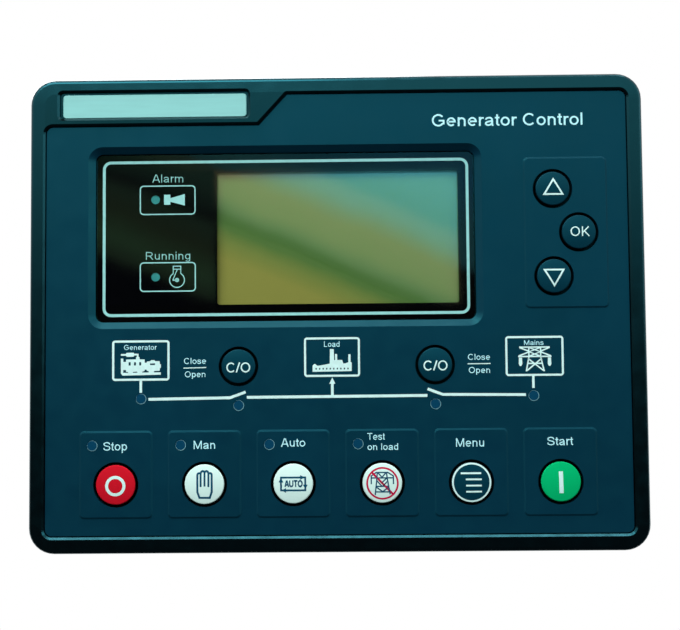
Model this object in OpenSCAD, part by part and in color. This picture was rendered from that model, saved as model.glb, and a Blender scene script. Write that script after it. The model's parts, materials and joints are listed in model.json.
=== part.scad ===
// Panel-mounted controller for a generating set: a moulded bezel with push keys, signal lamps and a
// display, closed at the back by a stepped housing that carries plug-in wiring terminals.
// Everything is drawn lying on its back, with the face towards +Z and the mounting panel's face at
// Z = 0, and is then stood upright so that the face looks along -Y.

/* [Bezel] */
// Overall width
bezel_w = 242; // [240:1:256]
// Overall height
bezel_h = 187; // [185:1:200]
// Radius of the outer corners
bezel_corner = 10; // [7:0.5:14]
// Height of the rim's crest in front of the mounting panel
bezel_rise = 12; // [11.5:0.5:16]
// Width of the rim at the sides
rim_w = 6; // [5:0.25:7]
// Width of the rim at the top and bottom
rim_h = 6.5; // [5.5:0.25:7]
// Slope of the rim, in degrees
rim_slope = 4; // [2:1:12]
// Radius of the rim's outer edge
rim_round = 1.8; // [1:0.1:2.6]
// Drop from the crest to the keypad panel
inset_depth = 1.1; // [0.6:0.1:1.6]
// Radius of the inset's corners
inset_corner = 3; // [2:0.5:5]
// Width of the sloping lip around the inset and around the name plate's pocket
lip_w = 0.85; // [0.4:0.05:1]
// Height of the band above the step that carries the name plate
band_h = 12.2; // [11:0.2:16]
// Length of the step below the name plate
band_w = 84.5; // [80:0.5:100]
// Horizontal run of the slanted end of the step
band_run = 11.2; // [8:0.2:16]
// Thickness of the wall behind the keypad panel
web_t = 3.2; // [2.8:0.1:4]

/* [Name plate] */
// Width of the bare name plate
plate_w = 73; // [60:0.5:78]
// Height of the name plate
plate_h = 9.3; // [8:0.1:9.8]
// Thickness of the name plate
plate_t = 0.9; // [0.5:0.1:1.2]
// Distance of the plate's left edge from the bezel's edge
plate_left = 12.9; // [11:0.1:14]
// Distance of the plate's top edge from the bezel's edge
plate_top = 6.2; // [5.8:0.1:6.6]
// Depth of the plate's face below the crest
plate_sink = 1; // [0.6:0.1:1.2]

/* [Keypad panel] */
// Thickness of the keypad panel
panel_t = 2; // [1.6:0.1:2.6]
// Gap between the keypad panel and the rim
panel_gap = 0.35; // [0.25:0.05:0.6]
// Height of the raised fields under the keys
pad_rise = 0.4; // [0.2:0.1:0.8]
// Width of the sloping edge of a raised field
pad_edge_w = 0.7; // [0.4:0.1:1]
// Corner radius of a raised field
pad_corner = 2; // [1.5:0.25:3]
// Width of a raised field in the key row
row_pad_w = 28.8; // [24:0.1:32]
// Height of a raised field in the key row
row_pad_h = 34.2; // [31:0.2:36]
// Width of the raised field of the arrow keys
nav_pad_w = 32.9; // [30:0.1:34]
// Height of the raised field of the arrow keys
nav_pad_h = 59.8; // [54:0.1:64]

/* [Display] */
// Width of the display lens
lens_w = 149.7; // [140:0.1:154]
// Height of the display lens
lens_h = 66.4; // [63:0.2:68]
// Thickness of the display lens
lens_t = 2; // [1.5:0.1:2.2]
// Corner radius of the display lens
lens_corner = 2.8; // [2:0.2:4]
// Distance of the lens from the left edge of the inset
lens_left = 19.9; // [18:0.1:22]
// Distance of the lens from the top edge of the inset
lens_top = 23.5; // [22:0.25:26]
// Width of the sloping border round the lens
window_edge_w = 2.6; // [1.5:0.1:3.2]
// Width of that border below the lens
window_edge_low = 2.6; // [1.5:0.1:4.2]
// Width of the visible picture
view_w = 95.5; // [86:0.5:96]
// Height of the visible picture
view_h = 52; // [46:0.5:53]
// Distance of the picture's middle from the lens's middle
view_shift = 20.5; // [18:0.5:21]

/* [Keys] */
// Diameter of a cap in the key row
row_key_d = 15.4; // [14:0.1:17]
// Spacing of the key row
row_pitch = 34.65; // [33.6:0.05:35.2]
// Height of the key row above the bottom edge of the inset
row_rise = 20.25; // [19:0.25:21.5]
// Diameter of the breaker and arrow caps
small_key_d = 13.3; // [12:0.1:14]
// Gap all round a cap
key_gap = 1.15; // [0.5:0.05:1.3]
// Height of a cap's edge above its raised field
key_rise = 0.5; // [0.3:0.1:1.4]
// Height of a cap's crown
key_crown = 0.55; // [0.2:0.05:0.9]
// Travel of a key
key_travel = 1.2; // [0.6:0.1:1.5]
// Distance of a breaker key from the middle of the key row
breaker_reach = 38.5; // [36:0.25:42]
// Height of the breaker keys above the key row
breaker_rise = 45.8; // [44:0.1:47]
// Vertical spacing of the arrow keys
nav_pitch = 17.25; // [16.8:0.05:19]
// Sideways offset of the arrow keys from the middle of their field
nav_stagger = 5; // [4.5:0.1:5.4]

/* [Lamps] */
// Diameter of a lamp's light pipe
lamp_d = 3.8; // [3:0.1:4.2]
// Distance of an outer lamp from the middle of the key row
source_reach = 76.8; // [74:0.1:80]

/* [Housing] */
// Distance from the bezel's edge to the cut-out in the mounting panel, at the sides
overlap_side = 14; // [13.5:0.25:16]
// Distance from the bezel's edge to the cut-out in the mounting panel, at the top and bottom
overlap_end = 13.5; // [13:0.25:15.5]
// Gap all round between the housing and the cut-out
cutout_gap = 1; // [0.5:0.1:1.5]
// Wall thickness of the housing
housing_wall = 2.2; // [1.8:0.1:2.6]
// Depth of the terminal shelves behind the panel
shelf_depth = 24; // [22:0.5:28]
// Depth of the back behind the panel
back_depth = 41; // [39.5:0.5:48]
// Height of a terminal shelf, above and below the raised block
shelf_h = 23; // [22:0.5:25]

/* [Terminals] */
// Spacing of the wiring terminals
pole_pitch = 5.08; // [4.8:0.02:5.3]
// Number of wiring terminals in each plug of the upper row
upper_poles = [8, 12, 10];
// Number of wiring terminals in each plug of the lower row
lower_poles = [12, 6, 10];
// Gap between two plugs
plug_gap = 5; // [4:0.5:9]
// Thickness of a plug
plug_h = 12; // [11:0.2:13]

/* [Fixing] */
// Radius of the jack screws in the fixing clips
jack_r = 2; // [1.5:0.1:2.5]
// Gap between the bezel's gasket and the tips of the jack screws
panel_grip = 5.2; // [4.5:0.1:8]
// Distance of a fixing clip above or below the middle
clip_reach = 38; // [30:1:42]
// Width of the panel gasket
gasket_w = 6; // [4:0.5:6.5]

/* [Hidden] */
$fn = 48;
arc_steps = 8;

// The face's layout is given for a bezel of this width and height, and stretches with the bezel
layout_size = [242, 187];
fit_x = bezel_w / layout_size.x;
fit_y = bezel_h / layout_size.y;

touch = 0.3;
slip = 0.1;
eps = 0.02;

// Heights of the layers in front of the mounting panel
flange_back = 0.8;
crest = bezel_rise;
field = crest - inset_depth;
web_front = field - panel_t;
web_back = web_front - web_t;
lens_back = web_front - lens_t;
pad_top = field + pad_rise;
edge_break = 0.15;
lip_drop = min(lip_w, inset_depth - 0.15);
lip_run = lip_w / lip_drop;

// Inset in the rim and what it holds
inset_right = bezel_w / 2 - rim_w;
inset_top = bezel_h / 2 - rim_h;
band_length = band_w * fit_x;
band_end = -inset_right + band_length;
row_mid = -0.2;
line_mid = -0.25;
row_y = row_rise * fit_y - inset_top;
row_keys = 6;
row_xs = [for (i = [0:row_keys - 1]) row_mid + (i - (row_keys - 1) / 2) * row_pitch * fit_x];
row_pad_lift = 3.85;
row_pad_y = row_y + row_pad_lift * fit_y;
breaker_y = row_y + breaker_rise * fit_y;
breaker_xs = [line_mid - breaker_reach * fit_x, line_mid + breaker_reach * fit_x];
nav_reach = 24.75;
nav_lift = 30.6;
nav_x = inset_right - nav_reach * fit_x;
nav_y = nav_lift * fit_y;
nav_step = nav_pitch * fit_y;
plate_x = -bezel_w / 2 + plate_left + plate_w * fit_x / 2;
plate_y = bezel_h / 2 - plate_top - plate_h / 2;
pocket_gap = [0.93, 0.63];
pocket_shift = [-0.33, 0.45];
plate_corner = 1.3;
plate_edge = 0.2;
plate_floor = crest - plate_sink - plate_t;
plate_length = plate_w * fit_x;
pocket_w = plate_length + 2 * pocket_gap.x;
pocket_h = plate_h + 2 * pocket_gap.y;
lens_wide = lens_w * fit_x;
lens_tall = lens_h * fit_y;
lens_x = -inset_right + lens_left * fit_x + lens_wide / 2;
lens_y = inset_top - lens_top * fit_y - lens_tall / 2;
lens_gap = 0.3;
lens_edge = 0.25;
window_margin = 3;
view_drop = 0.4;
view_wide = view_w * fit_x;
view_tall = view_h * fit_y;
view_x = lens_x + view_shift * fit_x;
view_y = lens_y - view_drop;

// Keys: place, cap diameter and the height of the field that they stand in
nav_keys = [[nav_x - nav_stagger, nav_y + nav_step], [nav_x + nav_stagger, nav_y],
            [nav_x - nav_stagger, nav_y - nav_step]];
all_keys = concat([for (x = row_xs) [x, row_y, row_key_d]],
                  [for (x = breaker_xs) [x, breaker_y, small_key_d]],
                  [for (p = nav_keys) [p.x, p.y, small_key_d]]);
key_lip = 0.7;
key_flange_t = 1.2;
key_wall = 1.5;
key_skin = 1.8;
key_edge_r = 0.5;
stem_r = 2.2;
stem_end = 0.4;
flange_top = web_back - 0.2;
flange_low = flange_top - key_flange_t;

// Lamps: four beside keys, four in the line diagram, two behind the lens
row_lamp_side = 9.3;
row_lamp_rise = 15.3;
source_rise = 33.45;
source_x = source_reach * fit_x;
breaker_lamp_rise = 30.55;
lens_lamp_left = 23.15;
lens_lamp_reach = 15.45;
row_lamps = [for (i = [0:3]) [row_xs[i] - row_lamp_side, row_y + row_lamp_rise * fit_y, pad_top]];
line_lamps = concat([for (s = [-1, 1]) [line_mid + s * source_x, row_y + source_rise * fit_y, field]],
                    [for (x = breaker_xs) [x, row_y + breaker_lamp_rise * fit_y, field]]);
lens_lamp_x = lens_x - lens_wide / 2 + lens_lamp_left * fit_x;
lens_lamps = [for (s = [1, -1]) [lens_lamp_x, lens_y + s * lens_lamp_reach * fit_y, lens_back - slip]];
all_lamps = concat(row_lamps, line_lamps, lens_lamps);
lamp_collar = 1;

// Boards, counted backwards from the panel's face
board_t = 1.6;
front_board_z = -3;
front_board_back = front_board_z - board_t;
board_screw_r = 1.4;
board_head_r = 2.7;
board_head_t = 1.9;
board_screw_grip = 5;
boss_r = 3.2;
led_t = 1.7;
mat_t = 0.8;
mat_z = front_board_z + mat_t;
dome_r = 4.2;
dome_top_r = 2.9;
dome_skin = 0.5;

// Housing
housing_w = bezel_w - 2 * overlap_side - 2 * cutout_gap;
housing_h = bezel_h - 2 * overlap_end - 2 * cutout_gap;
block_h = housing_h - 2 * shelf_h;
housing_corner = 4;
inner_w = housing_w - 2 * housing_wall;
inner_h = housing_h - 2 * housing_wall;
skirt_t = 2;
skirt_w = inner_w - 2 * slip;
skirt_h = inner_h - 2 * slip;
skirt_end = -6;
shelf_in = housing_wall - shelf_depth;
back_in = housing_wall - back_depth;
corner_in = 5.4;
corner_fix = [inner_w / 2 - corner_in, inner_h / 2 - corner_in];
corner_r = 3.6;
corner_end = -14;
corner_grip = 10;
case_screw_r = 1.5;
case_head_r = 3.1;
case_head_sink = 2.6;
case_head_t = 2;

// Front board, inside the skirt, with screws at its top corners and between the keys
board_gap = 1.7;
board_clear = 0.8;
front_board_w = skirt_w - 2 * skirt_t - 2 * board_gap;
front_board_h = skirt_h - 2 * skirt_t - 2 * board_gap;
top_fix_in = 4.5;
top_fix_x = front_board_w / 2 - 16;
front_fixes = concat([for (s = [-1, 1]) [s * top_fix_x, front_board_h / 2 - top_fix_in]],
                     [for (i = [0, 2, 4]) [(row_xs[i] + row_xs[i + 1]) / 2, row_y]]);

// Rear board, its posts and the parts on it
rear_board_w = 2 * (corner_fix.x - corner_r - board_clear);
rear_board_h = front_board_h;
rear_board_back = shelf_in + board_clear;
rear_board_z = rear_board_back + board_t;
post_in = 8;
post_x = rear_board_w / 2 - post_in;
post_y = block_h / 2 - housing_wall - post_in - board_clear;
relay_w = 15.2;
relay_h = 19;
relay_t = 15.4;
relay_step = 21.5;
relay_y = 28;
coil_w = 23;
coil_h = 24;
coil_t = 14;
coil_step = 27;
coil_x = -16;
coil_y = -6;
can_r = 6.3;
can_t = 15;
can_step = 16;
can_x = 20;
can_y = -14;

// Terminal headers and plugs, behind the rear board
nose_slack = 0.4;
shroud_t = 1.1;
shroud_rise = 8.5;
shroud_end = rear_board_back - shroud_rise;
shroud_floor = 2.5;
row_end = shroud_end - slip;
plug_depth = 10.3;
plug_wall = 1.2;
clamp_len = 3.2;
clamp_slot = 0.6;
plug_back = row_end - plug_depth;
terminal_y = rear_board_h / 2 - plug_h / 2 - nose_slack;
pin_w = 1;
pin_end = shroud_end + 2;
entry_w = 3.6;
entry_h = 4.4;
entry_depth = 7;
clamp_r = 1.7;
cage_t = 0.5;

// Fixing clips, on the right-hand side
clip_w = 12;
clip_plate_t = 2.2;
clip_gap = 0.2;
clip_z = [-9, -27];
arm_z = [-14, -22];
slot_z = [-12, -22];
hook_neck = 4.5;
hook_len = 9;
hook_t = 1.6;
jack_in = 7.8;
jack_wall = 2.6;
jack_head_r = 3.6;
jack_x = bezel_w / 2 - jack_in;
jack_end = -30;
jack_head = 3;
gasket_t = 2;
gasket_edge = 2.5;

// Outlines

function unit(v) = v / norm(v);
function left_of(v) = [-v.y, v.x];
function turn_of(a, b) = a.x * b.y - a.y * b.x;

// Corners of a counter-clockwise outline whose sides have all moved in by d
function moved_in(pts, d) =
    let (n = len(pts))
    [for (i = [0:n - 1])
        let (a = left_of(unit(pts[i] - pts[(i + n - 1) % n])),
             b = left_of(unit(pts[(i + 1) % n] - pts[i])))
        pts[i] + d * (a + b) / (1 + a * b)];

// The same outline with an arc of its own radius at every corner, or a plain corner at radius 0
function rounded(pts, radii) =
    let (n = len(pts))
    [for (i = [0:n - 1])
        let (a = unit(pts[i] - pts[(i + n - 1) % n]),
             b = unit(pts[(i + 1) % n] - pts[i]),
             side = sign(turn_of(a, b)),
             sweep = acos(max(-1, min(1, a * b))),
             r = radii[i],
             centre = pts[i] - a * r * tan(sweep / 2) + side * r * left_of(a),
             start = -side * left_of(a))
        for (k = [0:r > 0 ? arc_steps : 0])
            let (t = side * sweep * k / arc_steps)
            centre + r * [start.x * cos(t) - start.y * sin(t), start.x * sin(t) + start.y * cos(t)]];

function box_corners(w, h) = [[-w / 2, -h / 2], [w / 2, -h / 2], [w / 2, h / 2], [-w / 2, h / 2]];

// Rounded rectangle that has moved in by d
function slab(w, h, r, d = 0) =
    rounded(box_corners(w - 2 * d, h - 2 * d), [for (i = [0:3]) max(r - d, 0.1)]);

// Inset outline, starting at its only inward corner, the foot of the slanted end
inset_points = [[band_end, inset_top - band_h], [-inset_right, inset_top - band_h],
                [-inset_right, -inset_top], [inset_right, -inset_top],
                [inset_right, inset_top], [band_end + band_run, inset_top]];
inset_radii = [0, inset_corner, inset_corner, inset_corner, inset_corner, 1];
function inset(d) =
    rounded(moved_in(inset_points, d), [for (r = inset_radii) r > 0 ? max(r - d, 0.1) : 0]);

// Solid through a stack of outlines with equal numbers of points, from low to high
module loft(outlines, heights) {
    n = len(outlines[0]);
    m = len(outlines);
    points = [for (j = [0:m - 1]) for (p = outlines[j]) [p.x, p.y, heights[j]]];
    sides = [for (j = [0:m - 2]) for (i = [0:n - 1])
        let (a = j * n + i, b = j * n + (i + 1) % n)
        each [[a, a + n, b + n], [a, b + n, b]]];
    low = [for (i = [0:n - 1]) i];
    high = [for (i = [0:n - 1]) (m - 1) * n + (n - i) % n];
    polyhedron(points, concat([low], sides, [high]));
}

// Straight block from low to high over an outline
module block(outline, low, high) {
    translate([0, 0, low]) linear_extrude(high - low) polygon(outline);
}

module rod(x, y, r, low, high) {
    translate([x, y, low]) cylinder(r = r, h = high - low);
}

module plate(x, y, w, h, low, high) {
    translate([x - w / 2, y - h / 2, low]) cube([w, h, high - low]);
}

module stand() {
    rotate([90, 0, 0]) children();
}

// Both sides of the housing, or all four corners
module both_sides() {
    for (s = [0, 1]) mirror([s, 0, 0]) children();
}

module four_corners() {
    for (s = [0, 1], t = [0, 1]) mirror([s, 0, 0]) mirror([0, t, 0]) children();
}

// Ring of the bezel's own outline, from one distance inside its edge to another
module bezel_ring(outer_d, inner_d, low, high) {
    difference() {
        block(slab(bezel_w, bezel_h, bezel_corner, outer_d), low, high);
        block(slab(bezel_w, bezel_h, bezel_corner, inner_d), low - 1, high + 1);
    }
}

// Front

rim_side = crest - rim_round * cos(rim_slope)
    - (rim_w - rim_round * (1 - sin(rim_slope))) * tan(rim_slope);
rim_arc = [for (k = [0:5])
    let (t = (90 - rim_slope) * k / 5)
    [rim_round * (1 - cos(t)), rim_side + rim_round * sin(t)]];
rim_profile = concat([[0, flange_back]], rim_arc, [[rim_w, crest]]);

module bezel_shell() {
    loft([for (p = rim_profile) slab(bezel_w, bezel_h, bezel_corner, p.x)], [for (p = rim_profile) p.y]);
    block(slab(skirt_w, skirt_h, housing_corner - housing_wall), skirt_end, flange_back + 1);
}

module bezel_bosses() {
    for (p = front_fixes) rod(p.x, p.y, boss_r, front_board_z, web_back + 0.5);
    four_corners() rod(corner_fix.x, corner_fix.y, corner_r, corner_end, web_back + 0.5);
}

// Hollow channel behind the rim, crossed by ribs
core_d = gasket_edge + gasket_w + 1.3;
core_top = web_front - 2.2;
rib_t = 1.6;
rib_step_x = bezel_w / 8;
rib_step_y = bezel_h / 6;
module rim_cores() {
    difference() {
        block(slab(bezel_w, bezel_h, bezel_corner, core_d), flange_back - 1, core_top);
        block(slab(housing_w + 2, housing_h + 2, housing_corner), flange_back - 2, core_top + 1);
        for (i = [-3:3]) plate(i * rib_step_x, 0, rib_t, bezel_h, flange_back - 2, core_top + 1);
        for (i = [-2:2]) plate(0, i * rib_step_y, bezel_w, rib_t, flange_back - 2, core_top + 1);
    }
}

module front_bezel() {
    color("#1d4a54") difference() {
        union() {
            difference() {
                bezel_shell();
                block(slab(skirt_w - 2 * skirt_t, skirt_h - 2 * skirt_t, 1.5), skirt_end - 1, web_back);
            }
            bezel_bosses();
        }
        loft([inset(0), inset(0), inset(-lip_w - lip_run)], [web_front, crest - lip_drop, crest + 1]);
        translate([plate_x + pocket_shift.x, plate_y + pocket_shift.y, 0])
            loft([for (d = [0, 0, -lip_w - lip_run]) slab(pocket_w, pocket_h, plate_corner, d)],
                 [plate_floor, crest - lip_drop, crest + 1]);
        translate([lens_x, lens_y, 0])
            block(slab(lens_wide, lens_tall, lens_corner, -lens_gap), lens_back, web_front + 1);
        plate(view_x, view_y, view_wide + window_margin, view_tall + window_margin,
              web_back - 1, lens_back + 1);
        for (k = all_keys) {
            rod(k.x, k.y, k.z / 2 + key_gap, web_back - 1, crest);
            rod(k.x, k.y, k.z / 2 + key_gap + key_lip + 0.4, flange_low - key_travel - 0.5, web_back);
        }
        for (l = all_lamps) rod(l.x, l.y, lamp_d / 2 + 0.15, web_back - 1, crest);
        for (p = front_fixes) rod(p.x, p.y, board_screw_r + 0.05, front_board_z - 1,
                                    front_board_z + board_screw_grip + 1);
        four_corners() rod(corner_fix.x, corner_fix.y, case_screw_r + 0.05, corner_end - 1,
                           corner_end + corner_grip + 2);
        bezel_ring(gasket_edge - slip, gasket_edge + gasket_w + slip, flange_back - 1, gasket_t);
        rim_cores();
    }
}

module name_plate() {
    color("#b9c2c4") translate([plate_x, plate_y, 0])
        loft([for (d = [0, 0, plate_edge]) slab(plate_length, plate_h, plate_corner, d)],
             [plate_floor, crest - plate_sink - plate_edge, crest - plate_sink]);
}

module raised_field(x, y, w, h) {
    translate([x, y, 0])
        loft([slab(w, h, pad_corner), slab(w, h, pad_corner), slab(w, h, pad_corner, pad_edge_w)],
             [field - 0.6, field, pad_top]);
}

// Window round the lens: the lens's outline at 0, and with its sloping border at 1
function window_outline(t) =
    let (grow = (window_edge_low - window_edge_w) * t)
    [for (p = slab(lens_wide, lens_tall + grow, lens_corner, -lens_gap - window_edge_w * t))
        p - [0, grow / 2]];

module keypad_panel() {
    color("#123f4d") difference() {
        union() {
            loft([inset(panel_gap), inset(panel_gap), inset(panel_gap + edge_break)],
                 [web_front, field - edge_break, field]);
            for (x = row_xs) raised_field(x, row_pad_y, row_pad_w * fit_x, row_pad_h * fit_y);
            raised_field(nav_x, nav_y, nav_pad_w * fit_x, nav_pad_h * fit_y);
        }
        translate([lens_x, lens_y, 0])
            loft([for (t = [-0.5, 1.5]) window_outline(t)], [for (t = [-0.5, 1.5]) web_front + panel_t * t]);
        for (k = all_keys) rod(k.x, k.y, k.z / 2 + key_gap, web_front - 1, crest + 1);
        for (l = concat(row_lamps, line_lamps)) rod(l.x, l.y, lamp_d / 2 + 0.15, web_front - 1, crest + 1);
    }
}

module display_lens() {
    color("#0d1417") translate([lens_x, lens_y, 0])
        loft([for (d = [0, 0, lens_edge]) slab(lens_wide, lens_tall, lens_corner, d)],
             [lens_back, web_front - lens_edge, web_front]);
}

module panel_gasket() {
    color("#22282a") bezel_ring(gasket_edge, gasket_edge + gasket_w, 0, gasket_t);
}

// Keys

// Half section of a key: stem, hollow cap with a crowned top, and the flange behind the wall
function key_section(r, base) =
    let (edge = base + key_rise, flat = r - key_edge_r, hollow = edge - key_skin)
    concat([[0, stem_end], [stem_r, stem_end], [stem_r, hollow], [r - key_wall, hollow],
            [r - key_wall, flange_low], [r + key_gap + key_lip, flange_low],
            [r + key_gap + key_lip, flange_top], [r, flange_top]],
           [for (k = [0:4]) [flat + key_edge_r * cos(k * 22.5), edge - key_edge_r * (1 - sin(k * 22.5))]],
           [for (k = [1:6]) [flat * (1 - k / 6), edge + key_crown * (1 - pow(1 - k / 6, 2))]]);

module key(index, tint) {
    k = all_keys[index];
    base = index == 6 || index == 7 ? field : pad_top;
    color(tint) translate([k.x, k.y, 0]) rotate_extrude() polygon(key_section(k.z / 2, base));
}

module key_stop() { key(0, "#c3202c"); }
module key_manual() { key(1, "#c9dcd6"); }
module key_auto() { key(2, "#c9dcd6"); }
module key_test() { key(3, "#c9dcd6"); }
module key_menu() { key(4, "#1c4f5c"); }
module key_start() { key(5, "#1f9a4a"); }
module key_generator_breaker() { key(6, "#1c4f5c"); }
module key_mains_breaker() { key(7, "#1c4f5c"); }
module key_up() { key(8, "#1c4f5c"); }
module key_ok() { key(9, "#1c4f5c"); }
module key_down() { key(10, "#1c4f5c"); }

// Light pipes and the lamps behind them

led_top = front_board_z + led_t;
module light_pipes() {
    color("#8fb3bd") for (i = [0:len(all_lamps) - 1]) {
        l = all_lamps[i];
        rod(l.x, l.y, lamp_d / 2, led_top + 0.2, l.z + (i < 8 ? 0.15 : 0));
        rod(l.x, l.y, lamp_d / 2 + lamp_collar, web_back - 1.2, web_back);
    }
}

module status_leds() {
    color("#e8e6d8") for (l = all_lamps) plate(l.x, l.y, 3.2, 2.8, front_board_z, led_top);
}

// Soft switch mat with a dome under every key
dome_z = stem_end - 0.05;
mat_margin = 1.6;
mat_low = row_y - dome_r - board_clear;
mat_high = breaker_y + dome_r + mat_margin;
mat_w = 2 * (corner_fix.x - corner_r - board_clear) - 2;
nav_mat_top = nav_y + nav_step + dome_r + mat_margin;
nav_mat_w = 2 * (nav_stagger + dome_r);
module dome_mat() {
    color("#a9b4b3") {
        difference() {
            union() {
                plate(0, (mat_low + mat_high) / 2, mat_w, mat_high - mat_low, front_board_z, mat_z);
                plate(nav_x, (nav_mat_top + mat_high) / 2 - 1, nav_mat_w, nav_mat_top - mat_high + 2,
                      front_board_z, mat_z);
            }
            for (k = all_keys) rod(k.x, k.y, dome_r - dome_skin, front_board_z - 1, mat_z + 1);
            for (l = all_lamps) rod(l.x, l.y, lamp_d / 2 + board_clear, front_board_z - 1, mat_z + 1);
            for (p = front_fixes) rod(p.x, p.y, boss_r + board_clear, front_board_z - 1, mat_z + 1);
        }
        for (k = all_keys) translate([k.x, k.y, 0]) rotate_extrude()
            polygon([[dome_r - dome_skin, mat_z - 0.4], [dome_r, mat_z - 0.4], [dome_r, mat_z],
                     [dome_top_r, dome_z], [0, dome_z], [0, dome_z - 1], [1.6, dome_z - 1],
                     [1.6, dome_z - 0.6], [dome_top_r - dome_skin, dome_z - 0.6],
                     [dome_r - dome_skin, mat_z]]);
    }
}

// Display module, held between the wall and the front board

lcd_margin = 8.8;
lcd_w = view_wide + 2 * lcd_margin;
lcd_h = view_tall + 2 * lcd_margin;
lcd_front = web_back - touch;
lcd_low = front_board_z + touch + board_t;
lcd_skin = 0.6;
lcd_lip = 1.5;
lcd_slack = 0.4;
lcd_ear = 6;
glass_front = lcd_front - lcd_skin - slip;
glass_t = 2.4;

module lcd_frame() {
    color("#3a4144") difference() {
        plate(view_x, view_y, lcd_w, lcd_h, lcd_low, lcd_front);
        plate(view_x, view_y, lcd_w - 2 * lcd_skin, lcd_h - 2 * lcd_skin, lcd_low - 1, lcd_front - lcd_skin);
        plate(view_x, view_y, view_wide + lcd_lip, view_tall + lcd_lip, lcd_low, lcd_front + 1);
    }
}

module lcd_glass() {
    color("#a8b51c") plate(view_x, view_y, lcd_w - 2 * lcd_skin - lcd_slack, lcd_h - 2 * lcd_skin - lcd_slack,
                           glass_front - glass_t, glass_front);
}

module lcd_backlight() {
    color("#e6e8d0") plate(view_x, view_y, lcd_w - 2 * lcd_skin - lcd_slack, lcd_h - 2 * lcd_skin - lcd_slack,
                           lcd_low + slip, glass_front - glass_t - slip);
}

module lcd_board() {
    color("#24593c") plate(view_x, view_y, lcd_w + lcd_ear, lcd_h + 1, lcd_low - board_t, lcd_low);
}

// Boards and the parts on them

module pan_screw(x, y, shank_r, head_r, head_t, tip, seat) {
    up = tip > seat ? 0 : 1;
    translate([x, y, seat]) mirror([0, 0, up]) {
        cylinder(r = shank_r, h = abs(tip - seat));
        difference() {
            translate([0, 0, -head_t]) cylinder(r = head_r, h = head_t);
            for (a = [0, 90]) rotate([0, 0, a])
                translate([-head_r * 0.6, -head_r * 0.14, -head_t - 1])
                    cube([head_r * 1.2, head_r * 0.28, 1 + head_t * 0.6]);
        }
    }
}

module display_board() {
    color("#24593c") difference() {
        plate(0, 0, front_board_w, front_board_h, front_board_back, front_board_z);
        four_corners() rod(corner_fix.x, corner_fix.y, corner_r + board_clear, front_board_back - 1,
                           front_board_z + 1);
        four_corners() plate(front_board_w / 2, front_board_h / 2, corner_in, corner_in, front_board_back - 1,
                             front_board_z + 1);
        for (p = front_fixes) rod(p.x, p.y, board_screw_r + 0.3, front_board_back - 1, front_board_z + 1);
    }
}

module display_board_screws() {
    color("#a8acad") for (p = front_fixes)
        pan_screw(p.x, p.y, board_screw_r, board_head_r, board_head_t, front_board_z + board_screw_grip,
                  front_board_back);
}

chip_w = 14;
chip_t = 1.5;
chip_x = 22;
chip_y = 22;
module processor() {
    color("#202224") plate(chip_x, chip_y, chip_w, chip_w, front_board_back - chip_t, front_board_back);
}

cell_r = 10;
cell_t = 3.2;
cell_x = 52;
cell_y = 20;
cell_strap_w = 24;
cell_strap_h = 6;
cell_strap_t = 2.2;
module backup_cell() {
    color("#9aa0a2") {
        rod(cell_x, cell_y, cell_r, front_board_back - cell_t, front_board_back);
        plate(cell_x, cell_y, cell_strap_w, cell_strap_h, front_board_back - cell_strap_t, front_board_back);
    }
}

link_x = -34;
link_y = 12;
link_h = 5;
link_pins = 12;
link_step = 2.54;
link_w = link_pins * link_step + 1;
link_pin_w = 0.64;
link_grip = 4;
socket_t = 8.5;
socket_top = rear_board_z + socket_t;
link_base_t = 2.5;
header_low = front_board_back - link_base_t;

module link_grid() {
    for (i = [0:link_pins - 1], s = [-0.5, 0.5])
        translate([link_x + (i - (link_pins - 1) / 2) * link_step, link_y + s * link_step, 0]) children();
}

module board_link_header() {
    color("#202224") {
        plate(link_x, link_y, link_w, link_h, header_low, front_board_back);
        link_grid() plate(0, 0, link_pin_w, link_pin_w, socket_top - link_grip, header_low);
    }
}

module board_link_socket() {
    color("#202224") difference() {
        plate(link_x, link_y, link_w, link_h, rear_board_z, socket_top);
        link_grid() plate(0, 0, link_pin_w + 2 * slip, link_pin_w + 2 * slip, socket_top - link_grip - 1,
                          socket_top + 1);
    }
}

module post_places() {
    four_corners() translate([post_x, post_y, 0]) children();
}

module power_board() {
    color("#24593c") difference() {
        plate(0, 0, rear_board_w, rear_board_h, rear_board_back, rear_board_z);
        post_places() rod(0, 0, board_screw_r + 0.3, rear_board_back - 1, rear_board_z + 1);
    }
}

module power_board_screws() {
    color("#a8acad") post_places()
        pan_screw(0, 0, board_screw_r, board_head_r, board_head_t, rear_board_back - board_screw_grip,
                  rear_board_z);
}

module output_relays() {
    color("#23262a") for (i = [-3:3])
        plate(i * relay_step, relay_y, relay_w, relay_h, rear_board_back - relay_t, rear_board_back);
}

module sense_transformers() {
    color("#2d3a4a") for (i = [-2:0])
        plate(i * coil_step + coil_x, coil_y, coil_w, coil_h, rear_board_back - coil_t, rear_board_back);
}

module filter_capacitors() {
    color("#2b2f3a") for (i = [0:3])
        rod(can_x + i * can_step, can_y, can_r, rear_board_back - can_t, rear_board_back);
}

// Wiring terminals

function length_of(poles) = poles * pole_pitch;
function run_before(list, i) = i == 0 ? 0 : run_before(list, i - 1) + length_of(list[i - 1]) + plug_gap;
function row_length(list) = run_before(list, len(list)) - plug_gap;
function plug_x(list, i) = -row_length(list) / 2 + run_before(list, i) + length_of(list[i]) / 2;

// Every plug as its middle, its number of terminals and the side that its clamp screws face
plugs = concat([for (i = [0:2]) [plug_x(upper_poles, i), upper_poles[i], 1]],
               [for (i = [0:2]) [plug_x(lower_poles, i), lower_poles[i], -1]]);

module each_pole(p) {
    for (i = [0:p[1] - 1])
        translate([p[0] + (i - (p[1] - 1) / 2) * pole_pitch, p[2] * terminal_y, 0])
            mirror([0, p[2] < 0 ? 1 : 0, 0]) children();
}

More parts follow.
